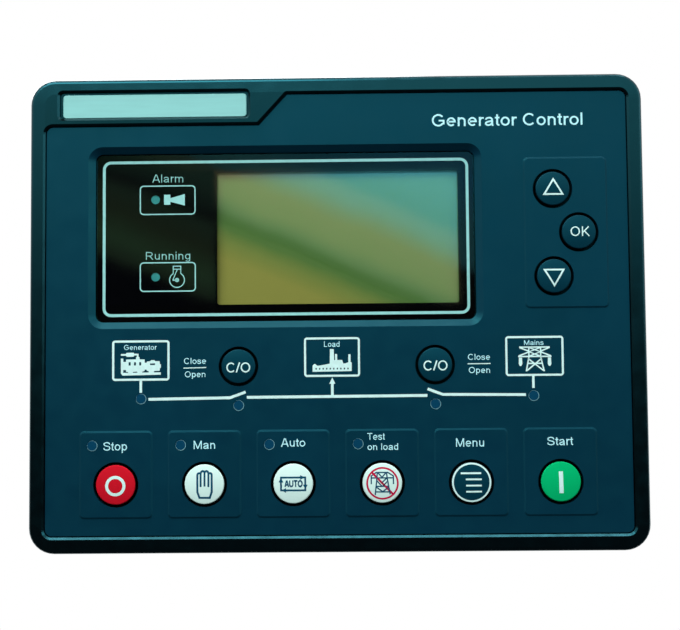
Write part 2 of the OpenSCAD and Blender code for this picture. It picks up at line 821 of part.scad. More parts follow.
shroud_slack = 2 * (shroud_t + nose_slack);
nose_front = rear_board_back - shroud_floor - 0.6;
entry_shift = -1.2;
clamp_in = 3.8;
clamp_z = plug_back + clamp_in;

module terminal_headers() {
    color("#2f7d46") for (p = plugs) difference() {
        plate(p[0], p[2] * terminal_y, length_of(p[1]) + shroud_slack, plug_h, shroud_end, rear_board_back);
        plate(p[0], p[2] * terminal_y, length_of(p[1]) + 2 * nose_slack, plug_h - 2 * shroud_t,
              shroud_end - 1, rear_board_back - shroud_floor);
        each_pole(p) plate(0, 0, pin_w + 0.1, pin_w + 0.1, rear_board_back - shroud_floor - 1,
                           rear_board_back + 1);
    }
}

module header_pins() {
    color("#c9ccc6") for (p = plugs) each_pole(p) plate(0, 0, pin_w, pin_w, pin_end, rear_board_back);
}

module clamp_bore() {
    translate([0, 0, clamp_z]) rotate([-90, 0, 0]) children();
}

module plug(index) {
    p = plugs[index];
    color("#3c9455") difference() {
        union() {
            plate(p[0], p[2] * terminal_y, length_of(p[1]) + 2 * plug_wall, plug_h, plug_back, row_end);
            plate(p[0], p[2] * terminal_y, length_of(p[1]), plug_h - 2 * shroud_t - 2 * nose_slack,
                  row_end - 1, nose_front);
        }
        each_pole(p) {
            plate(0, entry_shift, entry_w, entry_h, plug_back - 1, plug_back + entry_depth);
            clamp_bore() cylinder(r = clamp_r + 0.15, h = plug_h, $fn = 24);
            plate(0, 0, pin_w + 0.3, pin_w + 0.3, pin_end - 0.5, nose_front + 1);
        }
    }
}

module plug_upper_left() { plug(0); }
module plug_upper_middle() { plug(1); }
module plug_upper_right() { plug(2); }
module plug_lower_left() { plug(3); }
module plug_lower_middle() { plug(4); }
module plug_lower_right() { plug(5); }

cage_w = entry_w - 0.1;
cage_h = entry_h - 0.1;
module wire_cages() {
    color("#c2c6c4") for (p = plugs) each_pole(p) difference() {
        plate(0, entry_shift, cage_w, cage_h, plug_back + 1.2, plug_back + entry_depth - slip);
        plate(0, entry_shift, cage_w - 2 * cage_t, cage_h - 2 * cage_t,
              plug_back, plug_back + entry_depth - 1);
    }
}

module clamp_screws() {
    color("#a8acad") for (p = plugs) each_pole(p) clamp_bore() difference() {
        translate([0, 0, entry_shift + cage_h / 2]) cylinder(r = clamp_r, h = clamp_len, $fn = 24);
        translate([-clamp_r - 1, -clamp_slot / 2, entry_shift + cage_h / 2 + clamp_len - 0.8])
            cube([2 * clamp_r + 2, clamp_slot, 2]);
    }
}

// Rear housing

vent_step = 9;
vent_w = 3;
vent_h = 24;
vent_y = 22;
vent_xs = [for (i = [-7:7]) i * vent_step];
module housing_body(w, h, tall, r, shelf, back, front) {
    block(slab(w, h, r), -shelf, front);
    block(slab(w, tall, r), -back, -shelf + 1);
}

module rear_housing() {
    color("#2b3336") difference() {
        union() {
            difference() {
                housing_body(housing_w, housing_h, block_h, housing_corner, shelf_depth, back_depth,
                             flange_back - slip);
                housing_body(inner_w, inner_h, block_h - 2 * housing_wall, housing_corner - housing_wall,
                             -shelf_in, -back_in, flange_back + 1);
            }
            four_corners() rod(corner_fix.x, corner_fix.y, corner_r, shelf_in - 1, corner_end - 0.2);
            post_places() rod(0, 0, boss_r, back_in - 1, rear_board_back);
        }
        four_corners() {
            rod(corner_fix.x, corner_fix.y, case_screw_r + 0.2, -shelf_depth - 1, corner_end + 1);
            rod(corner_fix.x, corner_fix.y, case_head_r + touch, -shelf_depth - 1,
                case_head_sink - shelf_depth);
        }
        post_places() rod(0, 0, board_screw_r + 0.05, rear_board_back - board_screw_grip - 1,
                          rear_board_back + 1);
        for (p = plugs)
            plate(p[0], p[2] * terminal_y, length_of(p[1]) + shroud_slack + 1, plug_h + 1,
                  -shelf_depth - 1, shelf_in + 1);
        for (x = vent_xs, s = [-1, 1]) translate([x, s * vent_y, 0])
            block(slab(vent_w, vent_h, vent_w / 2 - 0.05), -back_depth - 1, back_in + 1);
        both_sides() for (s = [-1, 1])
            plate(housing_w / 2, s * clip_reach, 4 * housing_wall, clip_w - 2, slot_z[1], slot_z[0]);
    }
}

module housing_screws() {
    color("#a8acad") four_corners()
        pan_screw(corner_fix.x, corner_fix.y, case_screw_r, case_head_r, case_head_t,
                  corner_end + corner_grip, case_head_sink - shelf_depth);
}

// Fixing clips

module clip_body() {
    plate_x0 = housing_w / 2 + clip_gap;
    hook_out = inner_w / 2 - touch;
    arm_end = jack_x + jack_r + jack_wall;
    difference() {
        union() {
            plate(plate_x0 + clip_plate_t / 2, 0, clip_plate_t, clip_w, clip_z[1], clip_z[0]);
            plate((plate_x0 + arm_end) / 2, 0, arm_end - plate_x0, clip_w, arm_z[1], arm_z[0]);
            plate((hook_out - hook_t + plate_x0 + 1) / 2, 0, plate_x0 + 1 - hook_out + hook_t, clip_w - 3,
                  slot_z[1] + slip, slot_z[1] + slip + hook_neck);
            plate(hook_out - hook_t / 2, 0, hook_t, clip_w - 3, slot_z[1] + slip + hook_neck - hook_len,
                  slot_z[1] + slip + hook_neck);
        }
        rod(jack_x, 0, jack_r + 0.06, clip_z[1] - 1, 0);
    }
}

module clip(sx, sy) {
    color("#2b3336") mirror([sx < 0 ? 1 : 0, 0, 0]) translate([0, sy * clip_reach, 0]) clip_body();
}

module clip_upper_left() { clip(-1, 1); }
module clip_lower_left() { clip(-1, -1); }
module clip_upper_right() { clip(1, 1); }
module clip_lower_right() { clip(1, -1); }

module jack_screws() {
    color("#b4b8b8") both_sides() for (s = [-1, 1])
        pan_screw(jack_x, s * clip_reach, jack_r, jack_head_r, jack_head, -panel_grip, jack_end);
}

stand() front_bezel();
stand() name_plate();
stand() keypad_panel();
stand() display_lens();
stand() panel_gasket();
stand() key_stop();
stand() key_manual();
stand() key_auto();
stand() key_test();
stand() key_menu();
stand() key_start();
stand() key_generator_breaker();
stand() key_mains_breaker();
stand() key_up();
stand() key_ok();
stand() key_down();
stand() light_pipes();
stand() status_leds();
stand() dome_mat();
stand() lcd_frame();
stand() lcd_glass();
stand() lcd_backlight();
stand() lcd_board();
stand() display_board();
stand() display_board_screws();
stand() processor();
stand() backup_cell();
stand() board_link_header();
stand() board_link_socket();
stand() power_board();
stand() power_board_screws();
stand() output_relays();
stand() sense_transformers();
stand() filter_capacitors();
stand() terminal_headers();
stand() header_pins();
stand() plug_upper_left();
stand() plug_upper_middle();
stand() plug_upper_right();
stand() plug_lower_left();
stand() plug_lower_middle();
stand() plug_lower_right();
stand() wire_cages();
stand() clamp_screws();
stand() rear_housing();
stand() housing_screws();
stand() clip_upper_left();
stand() clip_lower_left();
stand() clip_upper_right();
stand() clip_lower_right();
stand() jack_screws();
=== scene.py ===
import json
import math
import bpy
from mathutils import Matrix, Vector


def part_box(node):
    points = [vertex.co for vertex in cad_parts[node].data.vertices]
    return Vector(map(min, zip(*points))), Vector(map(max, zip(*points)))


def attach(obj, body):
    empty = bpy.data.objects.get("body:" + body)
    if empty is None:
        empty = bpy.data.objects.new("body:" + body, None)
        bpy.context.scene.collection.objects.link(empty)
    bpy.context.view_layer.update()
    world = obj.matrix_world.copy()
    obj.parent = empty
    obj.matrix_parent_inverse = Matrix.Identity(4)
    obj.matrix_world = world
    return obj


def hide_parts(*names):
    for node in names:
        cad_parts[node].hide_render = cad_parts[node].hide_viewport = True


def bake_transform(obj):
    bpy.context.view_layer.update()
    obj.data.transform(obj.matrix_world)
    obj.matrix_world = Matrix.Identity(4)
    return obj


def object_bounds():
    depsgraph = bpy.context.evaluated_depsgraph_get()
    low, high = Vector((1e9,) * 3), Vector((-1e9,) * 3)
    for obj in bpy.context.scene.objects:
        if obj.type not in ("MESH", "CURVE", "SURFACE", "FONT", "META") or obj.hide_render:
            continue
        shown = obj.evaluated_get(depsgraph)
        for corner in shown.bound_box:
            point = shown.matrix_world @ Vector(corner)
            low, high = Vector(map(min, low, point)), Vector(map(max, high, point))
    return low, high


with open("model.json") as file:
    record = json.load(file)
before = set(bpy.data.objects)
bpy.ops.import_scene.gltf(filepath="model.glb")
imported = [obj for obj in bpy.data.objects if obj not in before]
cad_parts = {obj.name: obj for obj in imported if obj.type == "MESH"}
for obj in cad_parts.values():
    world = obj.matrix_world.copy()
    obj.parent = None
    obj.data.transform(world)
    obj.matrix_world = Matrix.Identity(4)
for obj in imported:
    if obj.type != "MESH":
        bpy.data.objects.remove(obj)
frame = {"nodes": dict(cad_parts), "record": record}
cad_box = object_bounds()
nodes = frame["nodes"]
scene = bpy.context.scene

MM = 0.001

# Heights in front of the mounting panel, in millimetres
FIELD = 10.9
PAD = 11.3
LENS_BACK = 6.9
MASK_HEIGHT = LENS_BACK + 0.03
LENS_PRINT_HEIGHT = LENS_BACK + 0.08

# Ink: its film, the step between lines that cross, and its seat in a crowned key
INK = 0.04
INK_STEP = 0.003
INK_LAYERS = 4
INK_SEAT = 0.02

# Keys: radius, rounding and height of the rim, rise of the crowned face
ROW = ("stop", "manual", "auto", "test", "menu", "start")
SMALL = ("generator_breaker", "mains_breaker", "up", "ok", "down")
ROW_RADIUS = 7.7
SMALL_RADIUS = 6.65
RIM_ROUNDING = 0.5
RIM_HEIGHT = 0.5
CROWN_RISE = 0.55
CROWN_CUTS = 16


def key_middle(key):
    """Middle of a key, seen from the front, in millimetres."""
    low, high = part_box("key_" + key)
    return (low.x + high.x) / 2 / MM, (low.z + high.z) / 2 / MM


KEYS = {key: key_middle(key) for key in ROW + SMALL}


def key_radius(key):
    return ROW_RADIUS if key in ROW else SMALL_RADIUS


def crown_height(key, reach):
    """Height of a key's crowned face at that distance from its middle, in millimetres."""
    base = FIELD if key.endswith("breaker") else PAD
    flat = key_radius(key) - RIM_ROUNDING
    return base + RIM_HEIGHT + CROWN_RISE * (1 - (reach / flat) ** 2)


# Modelling by hand

def clear_selection():
    bpy.ops.object.select_all(action="DESELECT")


def pick(*pieces):
    clear_selection()
    for piece in pieces:
        piece.select_set(True)
    bpy.context.view_layer.objects.active = pieces[0]


def settle(*pieces):
    """Turns flat curves into meshes and puts their place into the mesh."""
    pick(*pieces)
    bpy.ops.object.convert(target="MESH")
    bpy.ops.object.transform_apply(location=True, rotation=True, scale=True)


def gather(name, pieces):
    """Joins settled pieces into one."""
    pick(*pieces)
    bpy.ops.object.join()
    piece = bpy.context.object
    piece.name = name
    piece.data.name = name
    return piece


def flat_shape(loops, height):
    """A thin inked shape from closed outlines in millimetres, lying at that height."""
    curve = bpy.data.curves.new("ink", "CURVE")
    curve.dimensions = "2D"
    curve.fill_mode = "BOTH"
    curve.extrude = INK * MM / 2
    for loop in loops:
        spline = curve.splines.new("POLY")
        spline.points.add(len(loop) - 1)
        for point, (u, v) in zip(spline.points, loop):
            point.co = (u * MM, v * MM, 0, 1)
        spline.use_cyclic_u = True
    shape = bpy.data.objects.new("ink", curve)
    scene.collection.objects.link(shape)
    shape.rotation_euler = (math.pi / 2, 0, 0)
    shape.location = (0, -(height + INK / 2) * MM, 0)
    return shape


def one_piece(name, shapes):
    """Flat shapes settled and joined into one piece."""
    settle(*shapes)
    return gather(name, shapes)


def ink(name, shapes, height):
    """One inked piece from outlines, each a hair above the last where they cross."""
    return one_piece(name, [flat_shape(loops, height + INK_STEP * (k % INK_LAYERS))
                            for k, loops in enumerate(shapes)])


# Outlines, in millimetres

# Smallest inner corner of a drawn box, limit on how far a pointed corner runs out, and points
# on a closed ring
LEAST_CORNER = 0.15
SHARPEST_CORNER = 0.2
RING_POINTS = 28


def circle(u, v, r, steps=56):
    return [(u + r * math.cos(math.tau * k / steps), v + r * math.sin(math.tau * k / steps))
            for k in range(steps)]


def box(left, low, right, high):
    return [(left, low), (right, low), (right, high), (left, high)]


def round_box(left, low, right, high, r, steps=6):
    loop = []
    for cu, cv, start in ((right - r, low + r, -90), (right - r, high - r, 0),
                          (left + r, high - r, 90), (left + r, low + r, 180)):
        for k in range(steps + 1):
            a = math.radians(start + 90 * k / steps)
            loop.append((cu + r * math.cos(a), cv + r * math.sin(a)))
    return loop


def frame_loops(left, low, right, high, r, line):
    """Outline of a rounded box, drawn with a line of that width inside its outer edge."""
    return [round_box(left, low, right, high, r),
            round_box(left + line, low + line, right - line, high - line,
                      max(r - line, LEAST_CORNER))]


def side_points(points, away, closed):
    """Points moved to one side of a run by that distance, with pointed corners."""
    moved = []
    last = len(points) - 1
    for k, (u, v) in enumerate(points):
        before = points[k - 1] if k > 0 or closed else None
        after = points[(k + 1) % len(points)] if k < last or closed else None
        ways = []
        for a, b in ((before, (u, v)), ((u, v), after)):
            if a and b:
                size = math.hypot(b[0] - a[0], b[1] - a[1])
                ways.append((-(b[1] - a[1]) / size, (b[0] - a[0]) / size))
        nu = sum(w[0] for w in ways) / len(ways)
        nv = sum(w[1] for w in ways) / len(ways)
        square = max(nu * nu + nv * nv, SHARPEST_CORNER)
        moved.append((u + nu / square * away, v + nv / square * away))
    return moved


def outline(points, line, closed=False):
    """Outlines of a drawn line: one loop, or two where the line closes on itself."""
    left = side_points(points, line / 2, closed)
    right = side_points(points, -line / 2, closed)
    if closed:
        return [left, right]
    return [left + right[::-1]]


def path(points, line, closed=False):
    return [outline(points, line, closed)]


def bar(start, end, line):
    """A straight line with square ends."""
    return outline([start, end], line)[0]


def arc(u, v, ru, rv, start, end, steps=14):
    """Points on part of an ellipse, with its angles in degrees."""
    turns = [math.radians(start + (end - start) * k / steps) for k in range(steps + 1)]
    return [(u + ru * math.cos(a), v + rv * math.sin(a)) for a in turns]


def ring(u, v, ru, rv):
    return arc(u, v, ru, rv, 0, 360 - 360 / RING_POINTS, RING_POINTS - 1)


def smooth(points, steps=4):
    """A soft curve through points."""
    run = [points[0]] + points + [points[-1]]
    soft = []
    for a, b, c, d in zip(run, run[1:], run[2:], run[3:]):
        for k in range(steps):
            t = k / steps
            soft.append(tuple(0.5 * (2 * q + (r - o) * t + (2 * o - 5 * q + 4 * r - e) * t * t
                                     + (3 * q - o - 3 * r + e) * t ** 3)
                              for o, q, r, e in zip(a, b, c, d)))
    return soft + [points[-1]]


# Plain block lettering, drawn as lines: the width of each letter, its open lines and its
# closed ones, for capitals one unit high
LETTERS = {
    " ": (0.39, [], []),
    "/": (0.39, [[(0.03, 0), (0.36, 1)]], []),
    "A": (0.93, [[(0.08, 0), (0.43, 1)], [(0.85, 0), (0.50, 1)],
                 [(0.22, 0.32), (0.71, 0.32)]], []),
    "C": (1.01, [arc(0.52, 0.5, 0.40, 0.44, 42, 318)], []),
    "G": (1.09, [arc(0.53, 0.5, 0.41, 0.44, 40, 324),
                 [(0.92, 0.16), (0.92, 0.47), (0.56, 0.47)]], []),
    "K": (0.93, [[(0.165, 0), (0.165, 1)], [(0.80, 1), (0.165, 0.33)],
                 [(0.36, 0.52), (0.84, 0)]], []),
    "L": (0.78, [[(0.17, 1), (0.17, 0.075), (0.71, 0.075)]], []),
    "M": (1.16, [[(0.16, 0), (0.16, 1)], [(0.18, 0.99), (0.58, 0.03)],
                 [(0.98, 0.99), (0.58, 0.03)], [(1.0, 0), (1.0, 1)]], []),
    "O": (1.09, [], [ring(0.543, 0.5, 0.405, 0.44)]),
    "R": (1.01, [[(0.165, 0), (0.165, 1)],
                 [(0.165, 0.925)] + arc(0.60, 0.70, 0.22, 0.225, 90, -90) + [(0.165, 0.475)],
                 [(0.54, 0.48), (0.89, 0)]], []),
    "S": (0.93, [smooth([(0.795, 0.70), (0.72, 0.86), (0.46, 0.935), (0.22, 0.87),
                         (0.14, 0.72), (0.23, 0.59), (0.47, 0.515), (0.72, 0.43),
                         (0.81, 0.275), (0.72, 0.125), (0.46, 0.065), (0.19, 0.14),
                         (0.10, 0.31)])], []),
    "T": (0.85, [[(0.03, 0.925), (0.825, 0.925)], [(0.427, 0.9), (0.427, 0)]], []),
    "U": (1.01, [[(0.165, 1)] + arc(0.505, 0.36, 0.34, 0.295, 180, 360) + [(0.845, 1)]], []),
    "a": (0.78, [smooth([(0.13, 0.50), (0.20, 0.61), (0.37, 0.66), (0.54, 0.62), (0.60, 0.50)])
                 + [(0.60, 0.12), (0.65, 0)],
                 smooth([(0.60, 0.41), (0.42, 0.365), (0.22, 0.31), (0.125, 0.19),
                         (0.20, 0.085), (0.34, 0.06), (0.50, 0.12), (0.60, 0.27)])], []),
    "d": (0.78, [[(0.605, 0), (0.605, 1)]], [ring(0.375, 0.365, 0.245, 0.30)]),
    "e": (0.78, [[(0.13, 0.375), (0.655, 0.375)]
                 + arc(0.39, 0.365, 0.265, 0.30, 10, 315)], []),
    "g": (0.78, [[(0.605, 0.73), (0.605, 0)]
                 + smooth([(0.605, -0.02), (0.57, -0.15), (0.45, -0.22), (0.28, -0.21),
                           (0.15, -0.13)])],
          [ring(0.365, 0.365, 0.24, 0.30)]),
    "i": (0.31, [[(0.155, 0), (0.155, 0.73)], [(0.155, 0.86), (0.155, 1)]], []),
    "l": (0.31, [[(0.155, 0), (0.155, 1)]], []),
    "m": (1.16, [[(0.155, 0), (0.155, 0.73)],
                 arc(0.365, 0.45, 0.205, 0.205, 180, 0) + [(0.57, 0)],
                 arc(0.785, 0.45, 0.205, 0.205, 180, 0) + [(0.99, 0)]], []),
    "n": (0.78, [[(0.16, 0), (0.16, 0.73)],
                 arc(0.385, 0.43, 0.22, 0.225, 170, 0) + [(0.605, 0)]], []),
    "o": (0.78, [], [ring(0.39, 0.365, 0.27, 0.30)]),
    "p": (0.78, [[(0.165, 0.73), (0.165, -0.28)]], [ring(0.405, 0.365, 0.245, 0.30)]),
    "r": (0.47, [[(0.16, 0), (0.16, 0.73)],
                 smooth([(0.16, 0.40), (0.22, 0.58), (0.33, 0.655), (0.46, 0.64)])], []),
    "s": (0.70, [smooth([(0.565, 0.52), (0.50, 0.625), (0.34, 0.665), (0.18, 0.62),
                         (0.125, 0.53), (0.19, 0.435), (0.35, 0.38), (0.52, 0.32),
                         (0.58, 0.20), (0.51, 0.10), (0.34, 0.055), (0.16, 0.10),
                         (0.09, 0.21)])], []),
    "t": (0.39, [[(0.19, 0.93)] + smooth([(0.19, 0.18), (0.23, 0.09), (0.36, 0.07)]),
                 [(0.02, 0.665), (0.36, 0.665)]], []),
    "u": (0.78, [[(0.16, 0.73)] + arc(0.38, 0.30, 0.22, 0.235, 180, 350),
                 [(0.605, 0.73), (0.605, 0)]], []),
}
LETTER_LINE = 0.12


def word(text, left, right, base, capital, weight=LETTER_LINE):
    """Shapes of a word between two sides, standing on a line, in millimetres."""
    shapes = []
    at = 0.0
    for letter in text:
        wide, lines, rings = LETTERS[letter]
        for points, closed in [(run, False) for run in lines] + [(run, True) for run in rings]:
            shapes.append(outline([(u + at, v) for u, v in points], weight, closed))
        at += wide
    across = [u for loops in shapes for loop in loops for u, v in loop]
    start = min(across)
    stretch = (right - left) / (max(across) - start)
    return [[[(left + (u - start) * stretch, base + v * capital) for u, v in loop]
             for loop in loops] for loops in shapes]


def words(legends):
    """Shapes of several words, each given with its sides, its line and its height."""
    return [shape for legend in legends for shape in word(*legend)]


def drape(piece, key):
    """Lays an inked piece on the crowned face of its key."""
    ku, kv = KEYS[key]
    pick(piece)
    bpy.ops.object.mode_set(mode="EDIT")
    reach = key_radius(key)
    for k in range(1, CROWN_CUTS):
        at = (2 * k / CROWN_CUTS - 1) * reach
        for place, normal in (((ku + at, 0, kv), (1, 0, 0)), ((ku, 0, kv + at), (0, 0, 1))):
            bpy.ops.mesh.select_all(action="SELECT")
            bpy.ops.mesh.bisect(plane_co=[c * MM for c in place], plane_no=normal)
    bpy.ops.object.mode_set(mode="OBJECT")
    for v in piece.data.vertices:
        away = math.hypot(v.co.x / MM - ku, v.co.z / MM - kv)
        v.co.y = max(v.co.y - (crown_height(key, away) - INK_SEAT) * MM, cad_box[0][1])


# Shader building blocks

WHITE = (1, 1, 1, 1)
# Sockets of the colour mixer
MIX_FIRST, MIX_SECOND, MIX_RESULT = 6, 7, 2
# Range in which a noise mostly lies
NOISE_LOW, NOISE_HIGH = 0.3, 0.7


def srgb(r, g, b):
    """A colour read off as 0 to 255, as Blender counts it."""
    def line(c):
        c /= 255
        return c / 12.92 if c <= 0.04045 else ((c + 0.055) / 1.055) ** 2.4
    return (line(r), line(g), line(b), 1)


def shade(colour, by):
    return tuple(min(c * by, 1) for c in colour[:3]) + (1,)


def start_finish(name):
    finish = bpy.data.materials.new(name)
    finish.use_nodes = True
    tree = finish.node_tree
    return finish, tree, tree.nodes["Principled BSDF"]


def start_bare_finish(name):
    """A finish without the usual shader."""
    finish, tree, skin = start_finish(name)
    tree.nodes.remove(skin)
    return finish, tree


def show(tree, shader):
    tree.links.new(shader, tree.nodes["Material Output"].inputs["Surface"])


def feed(tree, socket, value):
    """Links a socket to what another node gives, or sets it to a plain value."""
    if isinstance(value, bpy.types.NodeSocket):
        tree.links.new(value, socket)
    else:
        socket.default_value = value


def calc(tree, operation, *values):
    """One step of arithmetic."""
    step = tree.nodes.new("ShaderNodeMath")
    step.operation = operation
    for socket, value in zip(step.inputs, values):
        feed(tree, socket, value)
    return step.outputs["Value"]


def mix_colours(tree, share, first, second):
    mix = tree.nodes.new("ShaderNodeMix")
    mix.data_type = "RGBA"
    feed(tree, mix.inputs["Factor"], share)
    feed(tree, mix.inputs[MIX_FIRST], first)
    feed(tree, mix.inputs[MIX_SECOND], second)
    return mix.outputs[MIX_RESULT]


def mix_shaders(tree, share, first, second):
    mix = tree.nodes.new("ShaderNodeMixShader")
    for socket, value in zip(mix.inputs, (share, first, second)):
        tree.links.new(value, socket)
    return mix.outputs["Shader"]


def diffuse(tree, colour):
    shader = tree.nodes.new("ShaderNodeBsdfDiffuse")
    shader.inputs["Color"].default_value = colour
    return shader.outputs["BSDF"]


def place_of(tree, scale=None):
    """Object coordinates, stretched where a grain runs one way."""
    where = tree.nodes.new("ShaderNodeTexCoord").outputs["Object"]
    if scale is None:
        return where
    stretch = tree.nodes.new("ShaderNodeMapping")
    stretch.inputs["Scale"].default_value = scale
    tree.links.new(where, stretch.inputs["Vector"])
    return stretch.outputs["Vector"]


def axes(tree, where):
    """A place taken apart into X, Y and Z."""
    split = tree.nodes.new("ShaderNodeSeparateXYZ")
    tree.links.new(where, split.inputs["Vector"])
    return split.outputs


def grain(tree, where, scale, detail=2.0):
    noise = tree.nodes.new("ShaderNodeTexNoise")
    noise.inputs["Scale"].default_value = scale
    noise.inputs["Detail"].default_value = detail
    tree.links.new(where, noise.inputs["Vector"])
    return noise.outputs["Fac"]


def between(tree, value, low, high, out_low=0, out_high=1):
    """A value carried from one range to another and held at its ends."""
    span = tree.nodes.new("ShaderNodeMapRange")
    for name, number in (("From Min", low), ("From Max", high),
                         ("To Min", out_low), ("To Max", out_high)):
        span.inputs[name].default_value = number
    tree.links.new(value, span.inputs["Value"])
    return span.outputs["Result"]


def uneven(tree, noise, level, swing):
    """A number that wanders round a level with a noise."""
    return between(tree, noise, NOISE_LOW, NOISE_HIGH, level - swing, level + swing)


def band(tree, value, low, high):
    """One where the value lies between the two, and nought elsewhere."""
    return calc(tree, "COMPARE", value, (low + high) / 2, (high - low) / 2)


def tones(tree, value, stops):
    """A colour that runs through stops, each a place from 0 to 1 and its colour."""
    ramp = tree.nodes.new("ShaderNodeValToRGB")
    row = ramp.color_ramp.elements
    first, *inner, last = [(place, tuple(colour[:3]) + (1,)) for place, colour in stops]
    row[0].position, row[0].color = first
    row[1].position, row[1].color = last
    for place, colour in inner:
        row.new(place).color = colour
    tree.links.new(value, ramp.inputs["Fac"])
    return ramp.outputs["Color"]


def two_tone(tree, value, dark, light, low=0.35, high=0.65):
    return tones(tree, value, [(low, dark), (high, light)])


def relief(tree, skin, value, depth, strength):
    bump = tree.nodes.new("ShaderNodeBump")
    bump.inputs["Strength"].default_value = strength
    bump.inputs["Distance"].default_value = depth
    tree.links.new(value, bump.inputs["Height"])
    tree.links.new(bump.outputs["Normal"], skin.inputs["Normal"])


# Finishes

# Scale of clouding and of uneven sheen on plastic, and depth of its grain in metres
CLOUD_SCALE = 28
SHEEN_SCALE = 160
MOULD_DEPTH = 0.00004
BRUSH_DEPTH = 0.00001
# Painted shade on the side of a key below the panel face, standing in for the dark gap around it:
# where it starts below the panel, its soft edge and its colour
GAP_SHADE_DROP = 0.2
GAP_SHADE_FADE = 0.1
GAP_SHADE_BLACK = srgb(5, 8, 10)
# Edges of raised fields: how much rougher they are, and how far they keep from both faces
EDGE_DULLNESS = 0.3
EDGE_CLEAR = 0.03
# Share of light that a clear face mirrors when seen squarely, and how steeply that rises
MIRROR_LEAST = 0.04
MIRROR_POWER = 5
# Slope of the light in the display
SLANT = 0.44


def moulded(name, colour, rough=0.5, shine=0.3, pitch=2200, strength=0.35, spread=0.06,
            sheen=WHITE, gap_shade_height=None, dull=None):
    """Moulded plastic: a fine spark-eroded grain, faint clouding and uneven sheen.

    A key has painted shade below a given height, for the dark gap around it,
    and raised fields have duller edges between two heights.
    """
    finish, tree, skin = start_finish(name)
    where = place_of(tree)
    cloud = two_tone(tree, grain(tree, where, CLOUD_SCALE),
                     shade(colour, 1 - spread), shade(colour, 1 + spread))
    gloss = uneven(tree, grain(tree, where, SHEEN_SCALE), rough, 0.05)
    if dull:
        low, high = dull
        edge = band(tree, axes(tree, where)["Y"], -high * MM, -low * MM)
        gloss = calc(tree, "MULTIPLY_ADD", edge, EDGE_DULLNESS, gloss)
    # Painted shade: the key turns near-black below that height, where the gap around it lies in
    # shade
    if gap_shade_height:
        below = between(tree, axes(tree, where)["Y"], -(gap_shade_height + GAP_SHADE_FADE) * MM, -gap_shade_height * MM)
        cloud = mix_colours(tree, below, cloud, GAP_SHADE_BLACK)
    tree.links.new(cloud, skin.inputs["Base Color"])
    tree.links.new(gloss, skin.inputs["Roughness"])
    relief(tree, skin, grain(tree, where, pitch, 3.0), MOULD_DEPTH, strength)
    skin.inputs["Specular IOR Level"].default_value = shine
    skin.inputs["Specular Tint"].default_value = sheen
    return finish


def metal(name, colour, rough=0.35, along=(30, 900, 900), solid=1.0, spread=0.08):
    """Brushed or drawn metal, with its lines along one way."""
    finish, tree, skin = start_finish(name)
    lines = grain(tree, place_of(tree, along), 1.0, 3.0)
    tree.links.new(two_tone(tree, lines, shade(colour, 1 - spread), shade(colour, 1 + spread)),
                   skin.inputs["Base Color"])
    tree.links.new(uneven(tree, lines, rough, 0.08), skin.inputs["Roughness"])
    relief(tree, skin, lines, BRUSH_DEPTH, 0.2)
    skin.inputs["Metallic"].default_value = solid
    return finish


def printed(name, colour, rough=0.55, shine=0.2):
    """Screen print: a matt ink film with a faint mottle."""
    finish, tree, skin = start_finish(name)
    where = place_of(tree)
    tree.links.new(two_tone(tree, grain(tree, where, 420),
                            shade(colour, 0.94), shade(colour, 1.03)),
                   skin.inputs["Base Color"])
    tree.links.new(uneven(tree, grain(tree, where, 900), rough, 0.06), skin.inputs["Roughness"])
    skin.inputs["Specular IOR Level"].default_value = shine
    return finish


def clear_pane(name):
    """Clear acrylic: what is behind shows through, and a face seen flatter mirrors more."""
    finish, tree = start_bare_finish(name)
    gloss = tree.nodes.new("ShaderNodeBsdfGlossy")
    tree.links.new(uneven(tree, grain(tree, place_of(tree), 60), 0.035, 0.015),
                   gloss.inputs["Roughness"])
    through = tree.nodes.new("ShaderNodeBsdfTransparent")
    through.inputs["Color"].default_value = WHITE
    angle = tree.nodes.new("ShaderNodeLayerWeight")
    angle.inputs["Blend"].default_value = 0.5
    steep = calc(tree, "POWER", angle.outputs["Facing"], MIRROR_POWER)
    show(tree, mix_shaders(tree, between(tree, steep, 0, 1, MIRROR_LEAST, 1.0),
                           through.outputs["BSDF"], gloss.outputs["BSDF"]))
    return finish


def slanted(tree, where):
    """Height along the slanting light in the display."""
    place = axes(tree, where)
    return calc(tree, "MULTIPLY_ADD", place["X"], SLANT, place["Z"])


def picture_glass(name):
    """Unlit liquid-crystal glass: green, with a painted reflection of window light that turns it
    yellower towards one corner along the slant, and a mirroring front.
    """
    finish, tree, skin = start_finish(name)
    where = place_of(tree)
    clouded = calc(tree, "MULTIPLY_ADD", grain(tree, where, 40), 0.004, slanted(tree, where))
    # Painted reflection: yellow and green bands along the slant of the window light
    tint = tones(tree, between(tree, clouded, 0.0, 0.03),
                 [(0.15, srgb(146, 148, 71)), (0.40, srgb(120, 137, 65)),
                  (0.58, srgb(77, 116, 51)), (0.8, srgb(76, 118, 57))])
    tree.links.new(tint, skin.inputs["Base Color"])
    tree.links.new(uneven(tree, grain(tree, where, 700), 0.4, 0.05), skin.inputs["Roughness"])
    skin.inputs["Specular IOR Level"].default_value = 0.1
    skin.inputs["Coat Weight"].default_value = 1.0
    skin.inputs["Coat Roughness"].default_value = 0.015
    skin.inputs["Coat IOR"].default_value = 1.9
    return finish


